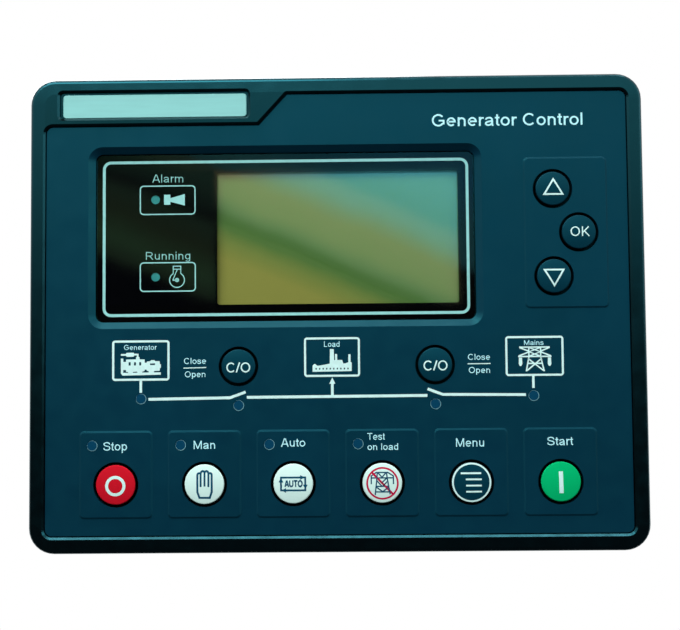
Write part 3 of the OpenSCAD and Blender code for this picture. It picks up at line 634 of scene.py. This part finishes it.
def lamp_pipe(name):
    """Unlit light pipes: deep blue in the panel, green behind the lens, told apart by height."""
    finish, tree, skin = start_finish(name)
    where = place_of(tree)
    tint = two_tone(tree, between(tree, axes(tree, where)["Z"], -0.02, 0.01),
                    srgb(6, 60, 88), srgb(54, 146, 144), 0.4, 0.6)
    tree.links.new(tint, skin.inputs["Base Color"])
    tree.links.new(uneven(tree, grain(tree, where, 800), 0.36, 0.06), skin.inputs["Roughness"])
    skin.inputs["Specular IOR Level"].default_value = 0.15
    skin.inputs["Specular Tint"].default_value = (0.3, 0.9, 1.0, 1)
    return finish


def key_plastic(name, colour, base, **looks):
    """Plastic of a key that stands on a face of that height."""
    # Painted shade darkens the key below the face it stands on
    return moulded(name, colour, pitch=3000, gap_shade_height=base - GAP_SHADE_DROP, **looks)


bezel_plastic = moulded("bezel_plastic", srgb(3, 4, 5), rough=0.19, shine=0.7, strength=0.2,
                        sheen=(0.10, 0.80, 1.0, 1))
panel_plastic = moulded("panel_plastic", srgb(5, 41, 60), rough=0.4, shine=0.38,
                        sheen=(0.08, 0.95, 1.0, 1), dull=(FIELD + EDGE_CLEAR, PAD - EDGE_CLEAR))
key_red = key_plastic("key_red", srgb(196, 20, 38), PAD, rough=0.45, shine=0.15, strength=0.2,
                      spread=0.03, sheen=(1.0, 0.15, 0.2, 1))
key_white = key_plastic("key_white", srgb(211, 240, 233), PAD, rough=0.45, shine=0.1,
                        strength=0.2, spread=0.02)
key_green = key_plastic("key_green", srgb(3, 176, 106), PAD, rough=0.45, shine=0.15,
                        strength=0.2, spread=0.03, sheen=(0.05, 1.0, 0.6, 1))
key_dark = key_plastic("key_dark", srgb(4, 46, 62), FIELD, rough=0.46, shine=0.25,
                       strength=0.25, sheen=(0.1, 0.9, 1.0, 1))
housing_plastic = moulded("housing_plastic", srgb(44, 49, 52), rough=0.55)
black_plastic = moulded("black_plastic", srgb(28, 30, 33), rough=0.45)
terminal_green = moulded("terminal_green", srgb(38, 128, 66), rough=0.48, spread=0.05)
board_laminate = moulded("board_laminate", srgb(22, 92, 58), rough=0.35, shine=0.5, pitch=900,
                         spread=0.12)
backlight_plastic = moulded("backlight_plastic", srgb(230, 232, 206), rough=0.6)
led_plastic = moulded("led_plastic", srgb(236, 232, 214), rough=0.3)
gasket_rubber = moulded("gasket_rubber", srgb(30, 32, 34), rough=0.75, shine=0.15, pitch=1500)
mat_silicone = moulded("mat_silicone", srgb(150, 160, 160), rough=0.65)
plate_metal = metal("plate_metal", srgb(131, 194, 191), rough=0.5, along=(60, 900, 900),
                    solid=0.25, spread=0.03)
frame_metal = metal("frame_metal", srgb(40, 44, 46), rough=0.4, solid=0.6)
steel = metal("steel", srgb(196, 198, 198), rough=0.3, along=(400, 400, 400))
tin_metal = metal("tin_metal", srgb(208, 210, 206), rough=0.28, along=(300, 900, 300))
lens_clear = clear_pane("lens_clear")
lcd_face = picture_glass("lcd_face")
pipe_plastic = lamp_pipe("pipe_plastic")
white_ink = printed("white_ink", srgb(207, 242, 238))
legend_ink = printed("legend_ink", srgb(184, 242, 249))
lens_ink = printed("lens_ink", srgb(158, 222, 219), shine=0.05)
dark_ink = printed("dark_ink", srgb(0, 70, 100), shine=0.05)
red_ink = printed("red_ink", srgb(190, 4, 64), shine=0.05)
lens_black = printed("lens_black", srgb(4, 5, 6), rough=0.4, shine=0.0)
# Painted shade, not print: the dark ring inside each lamp hole
lamp_shade_paint = printed("lamp_shade_paint", srgb(4, 38, 54), rough=0.35)
# Painted highlight, not print: the pale ring on the edge of each lamp hole
lamp_highlight_paint = printed("lamp_highlight_paint", srgb(140, 196, 204), rough=0.35)

FINISHES = {
    "bezel_plastic": bezel_plastic, "plate_metal": plate_metal,
    "panel_plastic": panel_plastic, "lens_plastic": lens_clear,
    "gasket_rubber": gasket_rubber, "key_red": key_red, "key_white": key_white,
    "key_dark": key_dark, "key_green": key_green, "pipe_plastic": pipe_plastic,
    "led_plastic": led_plastic, "mat_silicone": mat_silicone, "frame_metal": frame_metal,
    "lcd_glass": lcd_face, "backlight_plastic": backlight_plastic,
    "board_laminate": board_laminate, "black_plastic": black_plastic, "steel": steel,
    "terminal_green": terminal_green, "tin_metal": tin_metal,
    "housing_plastic": housing_plastic,
}


def coat(piece, finish):
    piece.data.materials.clear()
    piece.data.materials.append(finish)


def dress(piece, finish, body):
    coat(piece, finish)
    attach(piece, body)


for part in frame["record"]["subparts"]:
    coat(nodes[part["node"]], FINISHES[part["material_slot"]])

# Lens: a black mask behind the clear pane, open at the picture and at two lamps

MASK_EDGE = 0.1
MASK_CORNER = 2.6
PICTURE = (-47.4, 3.6, 48.3, 56.2)
PICTURE_CORNER = 1.0
LENS_LAMPS = ((-71.95, 45.75), (-71.95, 14.85))
LENS_LAMP_HOLE = 1.75

lens_low, lens_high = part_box("display_lens")
mask = [round_box(lens_low.x / MM + MASK_EDGE, lens_low.z / MM + MASK_EDGE,
                  lens_high.x / MM - MASK_EDGE, lens_high.z / MM - MASK_EDGE, MASK_CORNER),
        round_box(*PICTURE, PICTURE_CORNER)]
mask += [circle(u, v, LENS_LAMP_HOLE, 32) for u, v in LENS_LAMPS]
dress(ink("lens_mask", [mask], MASK_HEIGHT), lens_black, "controller")

# White print on the lens: border, two boxes, their words, a horn and a crank

LENS_BORDER_LINE = 1.13
LENS_BOX_LINE = 0.46
LENS_LETTER_LINE = 0.085
CASE_LINE = 0.38
PISTON_LINE = 0.34
CRANK_LINE = 0.45
CRANK = (-63.4, 13.6)
CRANK_PIN = (-65.1, 13.5)

lens_shapes = [
    frame_loops(-93.0, -0.9, 52.65, 61.3, 3.3, LENS_BORDER_LINE),
    frame_loops(-78.25, 39.65, -55.95, 51.45, 1.6, LENS_BOX_LINE),
    frame_loops(-78.25, 8.95, -55.9, 20.75, 1.6, LENS_BOX_LINE),
    [box(-68.55, 43.7, -66.0, 47.7)],
    [[(-66.1, 44.9), (-60.25, 43.3), (-60.25, 47.95), (-66.1, 46.3)]],
    [circle(*CRANK, 0.85, 24)],
]
for points, line in ((arc(*CRANK, 2.95, 2.95, 120, 420, 40), CASE_LINE),
                     ([(-64.9, 16.1), (-64.9, 19.1), (-61.9, 19.1), (-61.9, 16.1)], PISTON_LINE),
                     ([(-64.9, 17.9), (-61.9, 17.9)], PISTON_LINE),
                     ([CRANK, CRANK_PIN], CRANK_LINE),
                     ([CRANK_PIN, (-63.3, 17.8)], PISTON_LINE)):
    lens_shapes += path(points, line)
lens_shapes += words([("Alarm", -73.2, -60.9, 52.65, 3.2, LENS_LETTER_LINE),
                      ("Running", -75.75, -58.15, 21.75, 3.15, LENS_LETTER_LINE)])
dress(ink("lens_print", lens_shapes, LENS_PRINT_HEIGHT), lens_ink, "controller")

# Keypad panel: the line diagram and its pictures

PYLON_LINE = 0.55
GENERATOR_BOX_LINE = 0.85
BOX_LINE = 0.8
BOX_CORNER = 1.2
DIVIDER_LINE = 0.37

# Pylon with its two insulators
pylon = []
for points in ([(71.2, -14.45), (83.1, -14.45)], [(71.3, -14.6), (75.0, -16.1)],
               [(83.0, -14.6), (79.4, -16.1)], [(70.7, -18.1), (83.7, -18.1)],
               [(70.9, -17.9), (75.0, -16.3)], [(83.5, -17.9), (79.4, -16.3)],
               [(74.9, -14.5), (74.9, -18.3), (73.8, -23.9)],
               [(79.5, -14.5), (79.5, -18.3), (80.8, -23.9)],
               [(75.0, -14.6), (79.4, -16.3), (75.0, -18.0)],
               [(79.4, -14.6), (75.0, -16.3), (79.4, -18.0)],
               [(74.7, -19.0), (80.5, -23.6)], [(79.7, -19.0), (74.1, -23.6)],
               [(74.4, -20.8), (80.1, -20.8)]):
    pylon += path(points, PYLON_LINE)
for middle in (71.6, 82.9):
    pylon.append([[(middle + u, v) for u, v in
                   ((-0.6, -18.5), (-0.7, -21.0), (-0.3, -21.8), (0.3, -21.8), (0.7, -21.0),
                    (0.6, -18.5))]])

# Engine with its silencer, alternator and skid, with openings between them
engine = [[(-84.95, -17.5), (-84.95, -23.4), (-84.3, -24.2), (-69.25, -23.95), (-69.25, -23.0),
           (-71.9, -23.0), (-71.9, -22.5), (-69.7, -22.4), (-69.6, -21.3), (-69.2, -21.2),
           (-69.2, -19.9), (-69.6, -19.8), (-69.7, -18.6), (-71.5, -18.6), (-71.8, -18.2),
           (-73.1, -18.2), (-73.4, -18.6), (-74.7, -18.75), (-74.8, -19.2), (-75.6, -19.2),
           (-75.6, -17.9), (-77.6, -17.85), (-77.6, -17.0), (-78.0, -16.9), (-78.0, -15.65),
           (-79.7, -15.6), (-80.0, -15.2), (-82.7, -15.25), (-83.0, -15.7), (-84.95, -15.7),
           (-84.95, -16.4), (-83.0, -16.4), (-82.6, -16.85), (-80.0, -16.8), (-79.6, -16.3),
           (-78.7, -16.3), (-78.7, -16.9), (-79.0, -17.1), (-79.0, -17.85), (-82.95, -17.9),
           (-82.95, -18.8), (-84.0, -18.8), (-84.0, -17.5)],
          [(-84.0, -22.0), (-83.0, -22.0), (-82.9, -22.7), (-82.1, -22.8), (-82.1, -23.1),
           (-84.0, -23.1)],
          [(-80.2, -22.75), (-78.6, -22.65), (-78.4, -23.05), (-80.2, -23.1)],
          [(-76.6, -22.75), (-75.6, -22.4), (-75.6, -21.9), (-74.8, -21.9), (-74.8, -22.3),
           (-74.0, -22.55), (-74.0, -23.0), (-76.5, -23.05)],
          box(-73.5, -20.15, -71.5, -19.5)]
engine += [box(left, -20.25, left + 0.8, -18.95) for left in (-81.9, -79.8, -77.75)]

# Works with chimneys and a row of windows
WINDOWS = 10
WINDOW_STEP = 1.385
works = [[(-9.7, -23.35), (-9.65, -20.9), (-9.0, -20.3), (-8.7, -20.3), (-8.0, -20.9),
          (-7.3, -21.0), (-5.0, -20.6), (-2.95, -20.2), (-2.85, -14.5), (-1.35, -14.5),
          (-1.25, -18.85), (-0.85, -18.85), (-0.85, -16.45), (-0.05, -16.45), (0.0, -18.8),
          (1.9, -18.8), (2.35, -20.2), (3.3, -20.1), (4.3, -19.7), (4.35, -16.6), (5.2, -16.6),
          (5.2, -19.6), (5.65, -19.8), (5.6, -23.2)]]
works += [box(-8.55 + WINDOW_STEP * k, -22.5, -8.05 + WINDOW_STEP * k, -21.85)
          for k in range(WINDOWS)]

panel_shapes = pylon + [
    engine, works,
    frame_loops(-88.4, -26.25, -65.8, -10.4, BOX_CORNER, GENERATOR_BOX_LINE),
    frame_loops(-13.0, -25.35, 8.9, -9.9, BOX_CORNER, BOX_LINE),
    frame_loops(65.75, -25.7, 88.45, -10.1, BOX_CORNER, BOX_LINE),
]
# Wires and contacts, each with its ends and its width
panel_shapes += [[bar(*line)] for line in (((-74.1, -33.55), (-42.0, -33.2), 1.1),
                                           ((-42.3, -33.25), (-36.0, -31.0), 1.05),
                                           ((-35.5, -33.1), (35.1, -32.95), 1.1),
                                           ((35.2, -30.4), (41.2, -32.65), 1.05),
                                           ((41.0, -32.6), (73.5, -32.95), 1.05))]
# Upright wires and the arrow to the works
panel_shapes += [[box(-77.6, -30.95, -76.6, -26.0)], [box(76.0, -30.4, 76.95, -25.5)],
                 [box(-2.55, -32.6, -1.5, -28.0)],
                 [[(-3.2, -28.1), (-0.8, -28.1), (-2.0, -25.6)]]]
# Lines between close and open
panel_shapes += [[bar((-60.3, -21.45), (-51.4, -21.3), DIVIDER_LINE)],
                 [bar((50.95, -20.75), (59.9, -20.7), DIVIDER_LINE)]]
dress(ink("panel_print", panel_shapes, FIELD), white_ink, "controller")

# Legends

TITLE_LINE = 0.135
field_words = words([("Generator Control", 38.2, 97.6, 73.15, 4.9, TITLE_LINE),
                     ("Generator", -83.75, -70.8, -14.15, 2.0),
                     ("Load", -5.15, 0.95, -13.65, 2.2), ("Mains", 73.1, 80.7, -13.6, 1.85),
                     ("Close", -60.15, -51.45, -19.85, 2.35),
                     ("Open", -59.8, -51.75, -25.05, 2.35),
                     ("Close", 51.1, 59.75, -19.25, 2.35), ("Open", 51.4, 59.65, -24.4, 2.4)])
row_words = words([("Stop", -91.75, -82.45, -53.4, 3.35), ("Man", -56.35, -47.95, -53.05, 3.25),
                   ("Auto", -22.2, -12.75, -52.45, 3.25), ("Test", 11.45, 18.3, -50.05, 2.7),
                   ("on load", 11.5, 23.45, -54.0, 2.6), ("Menu", 45.95, 56.85, -53.0, 3.3),
                   ("Start", 81.35, 91.4, -52.7, 3.3)])
legends = gather("legend_print", [ink("field_words", field_words, FIELD),
                                  ink("row_words", row_words, PAD)])
dress(legends, legend_ink, "controller")

# Lamps in the panel: painted shade in a dark ring inside each hole, and a painted highlight on
# its pale rim, wider at the lower right

LAMP_STEPS = 40
# Radii of the painted shade ring inside each lamp hole
SHADE_RING_OUTER, SHADE_RING_INNER = 1.88, 1.58
# Radii of the painted highlight ring on the edge of each lamp hole, and its shift to the lower
# right
HIGHLIGHT_RING_OUTER, HIGHLIGHT_RING_INNER = 2.03, 1.9
HIGHLIGHT_SHIFT = (0.05, -0.09)
LAMP_FROM_KEY = (-9.3, 15.3)
LINE_LAMP_HEIGHT = -36.2

LAMPS = [(KEYS[key][0] + LAMP_FROM_KEY[0], KEYS[key][1] + LAMP_FROM_KEY[1], PAD)
         for key in ("stop", "manual", "auto", "test")]
LAMPS += [(-77.05, -33.3, FIELD), (76.55, -33.3, FIELD)]
LAMPS += [(KEYS[key][0], LINE_LAMP_HEIGHT, FIELD)
          for key in ("generator_breaker", "mains_breaker")]
# Painted shade: a dark ring where each lamp hole lies in shade
lamp_shade_rings = [flat_shape([circle(u, v, SHADE_RING_OUTER, LAMP_STEPS), circle(u, v, SHADE_RING_INNER, LAMP_STEPS)],
                    height) for u, v, height in LAMPS]
dress(one_piece("lamp_painted_shade", lamp_shade_rings), lamp_shade_paint, "controller")
# Painted highlight: a pale ring on the edge of each hole, wider at the lower right, on the edge
# that faces the light
lamp_highlight_rings = [flat_shape([circle(u + HIGHLIGHT_SHIFT[0], v + HIGHLIGHT_SHIFT[1], HIGHLIGHT_RING_OUTER, LAMP_STEPS),
                    circle(u, v, HIGHLIGHT_RING_INNER, LAMP_STEPS)], height) for u, v, height in LAMPS]
dress(one_piece("lamp_painted_highlights", lamp_highlight_rings), lamp_highlight_paint, "controller")

# Marks on the keys


def key_mark(name, key, shapes, finish):
    """Print on one key, given from the key's middle, laid on its crown and riding with it."""
    ku, kv = KEYS[key]
    piece = ink(name, [[[(u + ku, v + kv) for u, v in loop] for loop in loops]
                       for loops in shapes], 0)
    drape(piece, key)
    dress(piece, finish, key + "_button")


key_mark("stop_mark", "stop", [[circle(0, -0.4, 3.95), circle(0, -0.4, 2.8)]], white_ink)

PALM_LINE = 0.79
FINGER_LINE = 0.74
HAND_SHIFT = 0.15
fingers = [(-2.8, -2.9), (-2.8, 3.7), (-2.6, 4.15), (-2.15, 4.35), (-1.7, 4.25), (-1.5, 4.4),
           (-1.2, 4.95), (-0.75, 5.15), (-0.3, 5.0), (0.0, 4.6), (0.3, 5.0), (0.75, 5.15),
           (1.2, 4.95), (1.5, 4.4), (1.7, 4.25), (2.15, 4.35), (2.6, 4.15), (2.8, 3.7),
           (2.8, -2.9), (2.0, -5.2), (-2.0, -5.2)]
hand = path([(u + HAND_SHIFT, v) for u, v in fingers], PALM_LINE, True)
for u, low in ((-1.37, -1.0), (0.15, -0.8), (1.67, -1.0)):
    hand += path([(u, low), (u, 4.4)], FINGER_LINE)
key_mark("manual_mark", "manual", hand, dark_ink)

LOOP_LINE = 0.71
LOOP_LETTER_LINE = 0.265
loop_mark = path(box(-4.75, -2.55, 4.7, 2.4)[::-1], LOOP_LINE, True)
loop_mark += [[[(2.75, 3.3), (4.55, 2.4), (2.75, 1.5)]],
              [[(3.8, -0.4), (5.6, -0.4), (4.7, -2.2)]],
              [[(-2.8, -3.45), (-4.6, -2.55), (-2.8, -1.65)]],
              [[(-5.65, 0.55), (-3.85, 0.55), (-4.75, 2.35)]]]
loop_mark += word("AUTO", -3.4, 3.7, -1.2, 2.5, LOOP_LETTER_LINE)
key_mark("auto_mark", "auto", loop_mark, dark_ink)

TOWER_LINE = 0.5
tower = []
for points in ([(-4.3, -0.4), (-4.3, 2.75), (-2.4, 4.1), (2.1, 4.1), (4.3, 2.75), (4.3, -0.4)],
               [(-4.3, 2.0), (4.3, 2.0)], [(-1.95, 4.0), (-2.1, 2.0), (-2.8, -4.6)],
               [(1.65, 4.0), (1.9, 2.0), (3.0, -4.4)], [(-1.6, 3.9), (-0.1, 2.2), (1.3, 3.9)],
               [(-2.1, 0.9), (-0.3, -1.1)], [(1.7, 1.9), (-0.3, 0.1)], [(1.9, 0.6), (0.2, -1.1)],
               [(-2.3, -1.25), (2.4, -1.25)], [(-2.3, -1.6), (0.1, -3.3), (2.4, -1.6)],
               [(-2.6, -3.4), (2.7, -3.4)]):
    tower += path(points, TOWER_LINE)
key_mark("test_mark", "test", tower, dark_ink)
key_mark("test_bar", "test", [[circle(0.05, -0.1, 6.3), circle(0.05, -0.1, 5.6)],
                              [bar((-4.1, 4.2), (4.15, -4.35), 0.8)]], red_ink)

menu_bars = [[circle(0, 0, 7.6, 72), circle(0, 0, 6.95, 72)]]
menu_bars += [[box(-4.2, 3.2, 3.7, 3.88)], [box(-2.3, 0.85, 3.9, 1.5)],
              [box(-2.2, -1.55, 3.85, -0.9)], [box(-2.2, -3.9, 3.9, -3.25)]]
key_mark("menu_mark", "menu", menu_bars, white_ink)
key_mark("start_mark", "start", [[bar((-0.15, 4.0), (0.05, -4.4), 1.6)]], white_ink)

ARROW_LINE = 0.66
key_mark("up_mark", "up", path([(-3.4, -2.3), (3.8, -2.3), (0.2, 3.6)], ARROW_LINE, True),
         white_ink)
key_mark("down_mark", "down", path([(-3.75, 2.4), (3.65, 2.4), (0.0, -3.75)], ARROW_LINE, True),
         white_ink)
key_mark("ok_mark", "ok", word("OK", -3.4, 4.1, -1.75, 3.8), white_ink)

BREAKER_LETTER_LINE = 0.135
for key, sides in (("generator_breaker", (-4.7, 4.7, -2.4, 3.9)),
                   ("mains_breaker", (-4.6, 4.8, -2.3, 3.9))):
    key_mark(key + "_mark", key, word("C/O", *sides, BREAKER_LETTER_LINE), white_ink)

# Soft switch mat: a sheet, and a dome under each key, cut apart and named after its key

# Thickness of the sheet, foot of the domes, and reach of merging and of the cut, in millimetres
MAT_SHEET = 0.8
DOME_FOOT = 0.15
MERGE_REACH = 0.001
CUT_REACH = 0.01
mat_low, mat_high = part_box("dome_mat")
dome_foot = mat_high.y - (MAT_SHEET + DOME_FOOT) * MM


def cut_mat(name, front):
    """A merged copy of the mat, cut off at the foot of its domes and closed there."""
    piece = bpy.data.objects.new(name, nodes["dome_mat"].data.copy())
    scene.collection.objects.link(piece)
    pick(piece)
    bpy.ops.object.mode_set(mode="EDIT")
    bpy.ops.mesh.select_all(action="SELECT")
    bpy.ops.mesh.remove_doubles(threshold=MERGE_REACH * MM)
    bpy.ops.mesh.select_all(action="SELECT")
    bpy.ops.mesh.bisect(plane_co=(0, dome_foot, 0), plane_no=(0, -1, 0), use_fill=True,
                        clear_inner=front, clear_outer=not front, threshold=CUT_REACH * MM)
    bpy.ops.object.mode_set(mode="OBJECT")
    return piece


mat_sheet = cut_mat("mat_sheet", False)
dress(mat_sheet, mat_silicone, "controller")
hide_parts("dome_mat")

pick(cut_mat("mat_dome", True))
bpy.ops.mesh.separate(type="LOOSE")
for dome in list(bpy.context.selected_objects):
    corners = [v.co for v in dome.data.vertices]
    middle = [(min(c[k] for c in corners) + max(c[k] for c in corners)) / 2 / MM for k in (0, 2)]
    key = min(KEYS, key=lambda name: math.dist(KEYS[name], middle))
    dome.name = "mat_dome_" + key
    dome.data.name = dome.name
    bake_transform(dome)

# Stage

FLOOR_SIZE = 8
FLOOR_HEIGHT = -0.30
# Distances at which the floor starts to run out into white, and at which it is white
FLOOR_PALE, FLOOR_WHITE = 0.3, 0.9
# Depths behind the object between which the white ground begins to show in gloss
GROUND_START, GROUND_FULL = 0.05, 0.25


def shows_ground(tree, back):
    """One where the white ground shows: to the camera, and behind the object also in gloss
    and through glass."""
    rays = tree.nodes.new("ShaderNodeLightPath").outputs
    mirrored = calc(tree, "MAXIMUM", rays["Is Glossy Ray"], rays["Is Transmission Ray"])
    behind = calc(tree, "MULTIPLY", between(tree, back, GROUND_START, GROUND_FULL), mirrored)
    return calc(tree, "MAXIMUM", behind, rays["Is Camera Ray"])


def floor_finish(name):
    """Pale floor: it keeps the shadow near the object, runs out into white, and throws little
    light back."""
    finish, tree = start_bare_finish(name)
    pale = diffuse(tree, (0.5, 0.5, 0.5, 1))
    dim = diffuse(tree, (0.02, 0.022, 0.024, 1))
    white = tree.nodes.new("ShaderNodeEmission").outputs["Emission"]
    where = place_of(tree)
    away = tree.nodes.new("ShaderNodeVectorMath")
    away.operation = "LENGTH"
    tree.links.new(where, away.inputs[0])
    ground = mix_shaders(tree, between(tree, away.outputs["Value"], FLOOR_PALE, FLOOR_WHITE),
                         pale, white)
    show(tree, mix_shaders(tree, shows_ground(tree, axes(tree, where)["Y"]), dim, ground))
    return finish


clear_selection()
bpy.ops.mesh.primitive_plane_add(size=FLOOR_SIZE, location=(0, 0, FLOOR_HEIGHT))
floor = bpy.context.object
floor.name = "floor"
floor.data.materials.append(floor_finish("pale_floor"))

# Lights

# Level of the room's light from a little below the horizon up to straight above
ROOM_LOW, ROOM_HIGH = -0.25, 1.0
ROOM_LEVELS = ((0.0, 0.003), (0.15, 0.014), (0.25, 0.16), (0.34, 1.0), (0.5, 1.4), (0.76, 1.2),
               (1.0, 0.6))
ROOM_RED = 0.94


def studio_world():
    """A room that is bright above and dark below in front, with a white ground behind."""
    world = bpy.data.worlds.new("studio")
    scene.world = world
    world.use_nodes = True
    tree = world.node_tree
    way = axes(tree, tree.nodes.new("ShaderNodeTexCoord").outputs["Generated"])
    room = tones(tree, between(tree, way["Z"], ROOM_LOW, ROOM_HIGH),
                 [(at, (ROOM_RED * level, level, level)) for at, level in ROOM_LEVELS])
    tree.links.new(mix_colours(tree, shows_ground(tree, way["Y"]), room, WHITE),
                   tree.nodes["Background"].inputs["Color"])


studio_world()


def softbox(name, place, aim, wide, tall, power, colour):
    bpy.ops.object.light_add(type="AREA", location=place)
    lamp = bpy.context.object
    lamp.name = name
    lamp.data.shape = "RECTANGLE"
    lamp.data.size = wide
    lamp.data.size_y = tall
    lamp.data.energy = power
    lamp.data.color = colour
    way = [a - p for a, p in zip(aim, place)]
    flat = math.hypot(way[0], way[1])
    lamp.rotation_euler = (math.atan2(flat, -way[2]), 0, math.atan2(way[1], way[0]) - math.pi / 2)


softbox("top_box", (-0.30, -0.50, 0.66), (0, 0, 0), 0.7, 0.45, 6.3, (0.97, 1.0, 1.0))
softbox("right_box", (1.1, -0.6, 0.35), (0, 0, 0), 0.5, 0.7, 2.5, (0.9, 0.97, 1.0))
softbox("overhead_strip", (0, -0.16, 0.95), (0, -0.06, -0.09), 1.1, 0.12, 3.0, (1.0, 1.0, 1.0))
softbox("rear_box", (-0.5, 1.4, 1.0), (0, 0, 0), 1.2, 0.9, 22, (1.0, 1.0, 1.0))

# Card in front of the object that only shows in gloss: its place, size and the range of its
# slanting light, and how far that light wavers
CARD_PLACE = (0, -0.62, 0.09)
CARD_SIZE = (0.52, 1, 0.22)
CARD_LOW, CARD_HIGH = -0.014, 0.206
CARD_WAVE = 0.012
# Its light along the slant: beside the picture on the left, in the picture, beside it on the
# right, and above it
CARD_LEFT = ((0.02, (0.0, 0.0, 0.01)), (0.055, (0.03, 0.04, 0.03)), (0.09, (0.16, 0.32, 0.16)),
             (0.16, (0.25, 0.58, 0.27)), (0.27, (0.17, 0.28, 0.13)), (0.36, (0.14, 0.30, 0.17)),
             (0.41, (0.04, 0.07, 0.05)), (0.445, (0.06, 0.15, 0.10)), (0.54, (0.12, 0.32, 0.21)))
CARD_MIDDLE = ((0.30, (0.0, 0.0, 0.0)), (0.36, (0.07, 0.09, 0.04)), (0.406, (0.16, 0.21, 0.10)),
               (0.413, (0.0, 0.0, 0.0)), (0.418, (0.0, 0.0, 0.0)), (0.424, (0.15, 0.19, 0.12)),
               (0.432, (0.03, 0.04, 0.03)), (0.478, (0.39, 0.48, 0.30)),
               (0.524, (0.71, 0.75, 0.39)), (0.615, (0.86, 0.84, 0.45)),
               (0.66, (0.76, 1.01, 0.72)), (0.706, (0.62, 1.25, 1.16)),
               (0.751, (0.53, 1.36, 1.39)), (0.797, (0.24, 1.25, 1.48)),
               (0.93, (0.30, 1.54, 1.84)), (1.0, (0.30, 1.54, 1.78)))
CARD_RIGHT = ((0.62, (0.0, 0.0, 0.0)), (0.66, (0.15, 0.70, 0.80)), (0.8, (0.16, 0.76, 0.89)),
              (1.0, (0.11, 0.73, 1.25)))
CARD_TOP = ((0.42, (0.05, 0.12, 0.08)), (0.50, (0.10, 0.26, 0.16)), (0.565, (0.20, 0.40, 0.23)),
            (0.607, (0.22, 0.43, 0.32)), (0.63, (0.16, 0.62, 0.62)), (0.70, (0.17, 0.74, 0.76)),
            (0.83, (0.10, 0.64, 0.86)), (0.90, (0.10, 0.70, 1.0)), (1.0, (0.12, 0.77, 1.2)))
# Each further part with the axis on which it takes over, and from where to where
CARD_PARTS = ((CARD_MIDDLE, "X", -0.1185, -0.1165), (CARD_RIGHT, "X", 0.096, 0.100),
              (CARD_TOP, "Z", 0.163, 0.1645))


def window_card():
    """A room wall with a slanting window light, in front of the object, that only shows in
    its gloss."""
    clear_selection()
    bpy.ops.mesh.primitive_plane_add(size=1, location=CARD_PLACE, rotation=(math.pi / 2, 0, 0))
    card = bpy.context.object
    card.name = "window_card"
    bpy.ops.transform.resize(value=CARD_SIZE)
    bpy.ops.object.transform_apply(location=True, rotation=True, scale=True)
    finish, tree = start_bare_finish("window_card")
    where = place_of(tree)
    place = axes(tree, where)
    wavy = calc(tree, "MULTIPLY_ADD", grain(tree, where, 18), CARD_WAVE, slanted(tree, where))
    along = between(tree, wavy, CARD_LOW, CARD_HIGH)
    light = tones(tree, along, CARD_LEFT)
    for stops, axis, start, end in CARD_PARTS:
        light = mix_colours(tree, between(tree, place[axis], start, end), light,
                            tones(tree, along, stops))
    glow = tree.nodes.new("ShaderNodeEmission")
    tree.links.new(light, glow.inputs["Color"])
    tree.links.new(calc(tree, "MULTIPLY", between(tree, place["X"], -0.11, 0.09, 1.04, 0.92),
                        between(tree, place["Z"], 0.043, 0.046)),
                   glow.inputs["Strength"])
    show(tree, glow.outputs["Emission"])
    card.data.materials.append(finish)
    card.visible_camera = False
    card.visible_diffuse = False
    card.visible_transmission = False
    card.visible_shadow = False


window_card()

# Camera, a little below the middle of the panel: its place, its turn in degrees and its lens

CAMERA_PLACE = (0.0083, -0.5043, -0.0301)
CAMERA_TURN = (93.3555, 0.497, 0.8507)
bpy.ops.object.camera_add(location=CAMERA_PLACE, rotation=[math.radians(a) for a in CAMERA_TURN])
camera = bpy.context.object
camera.data.sensor_fit = "HORIZONTAL"
camera.data.sensor_width = 36
camera.data.lens = 66.69
camera.data.clip_start = 0.01
scene.camera = camera

scene.view_settings.view_transform = "Standard"
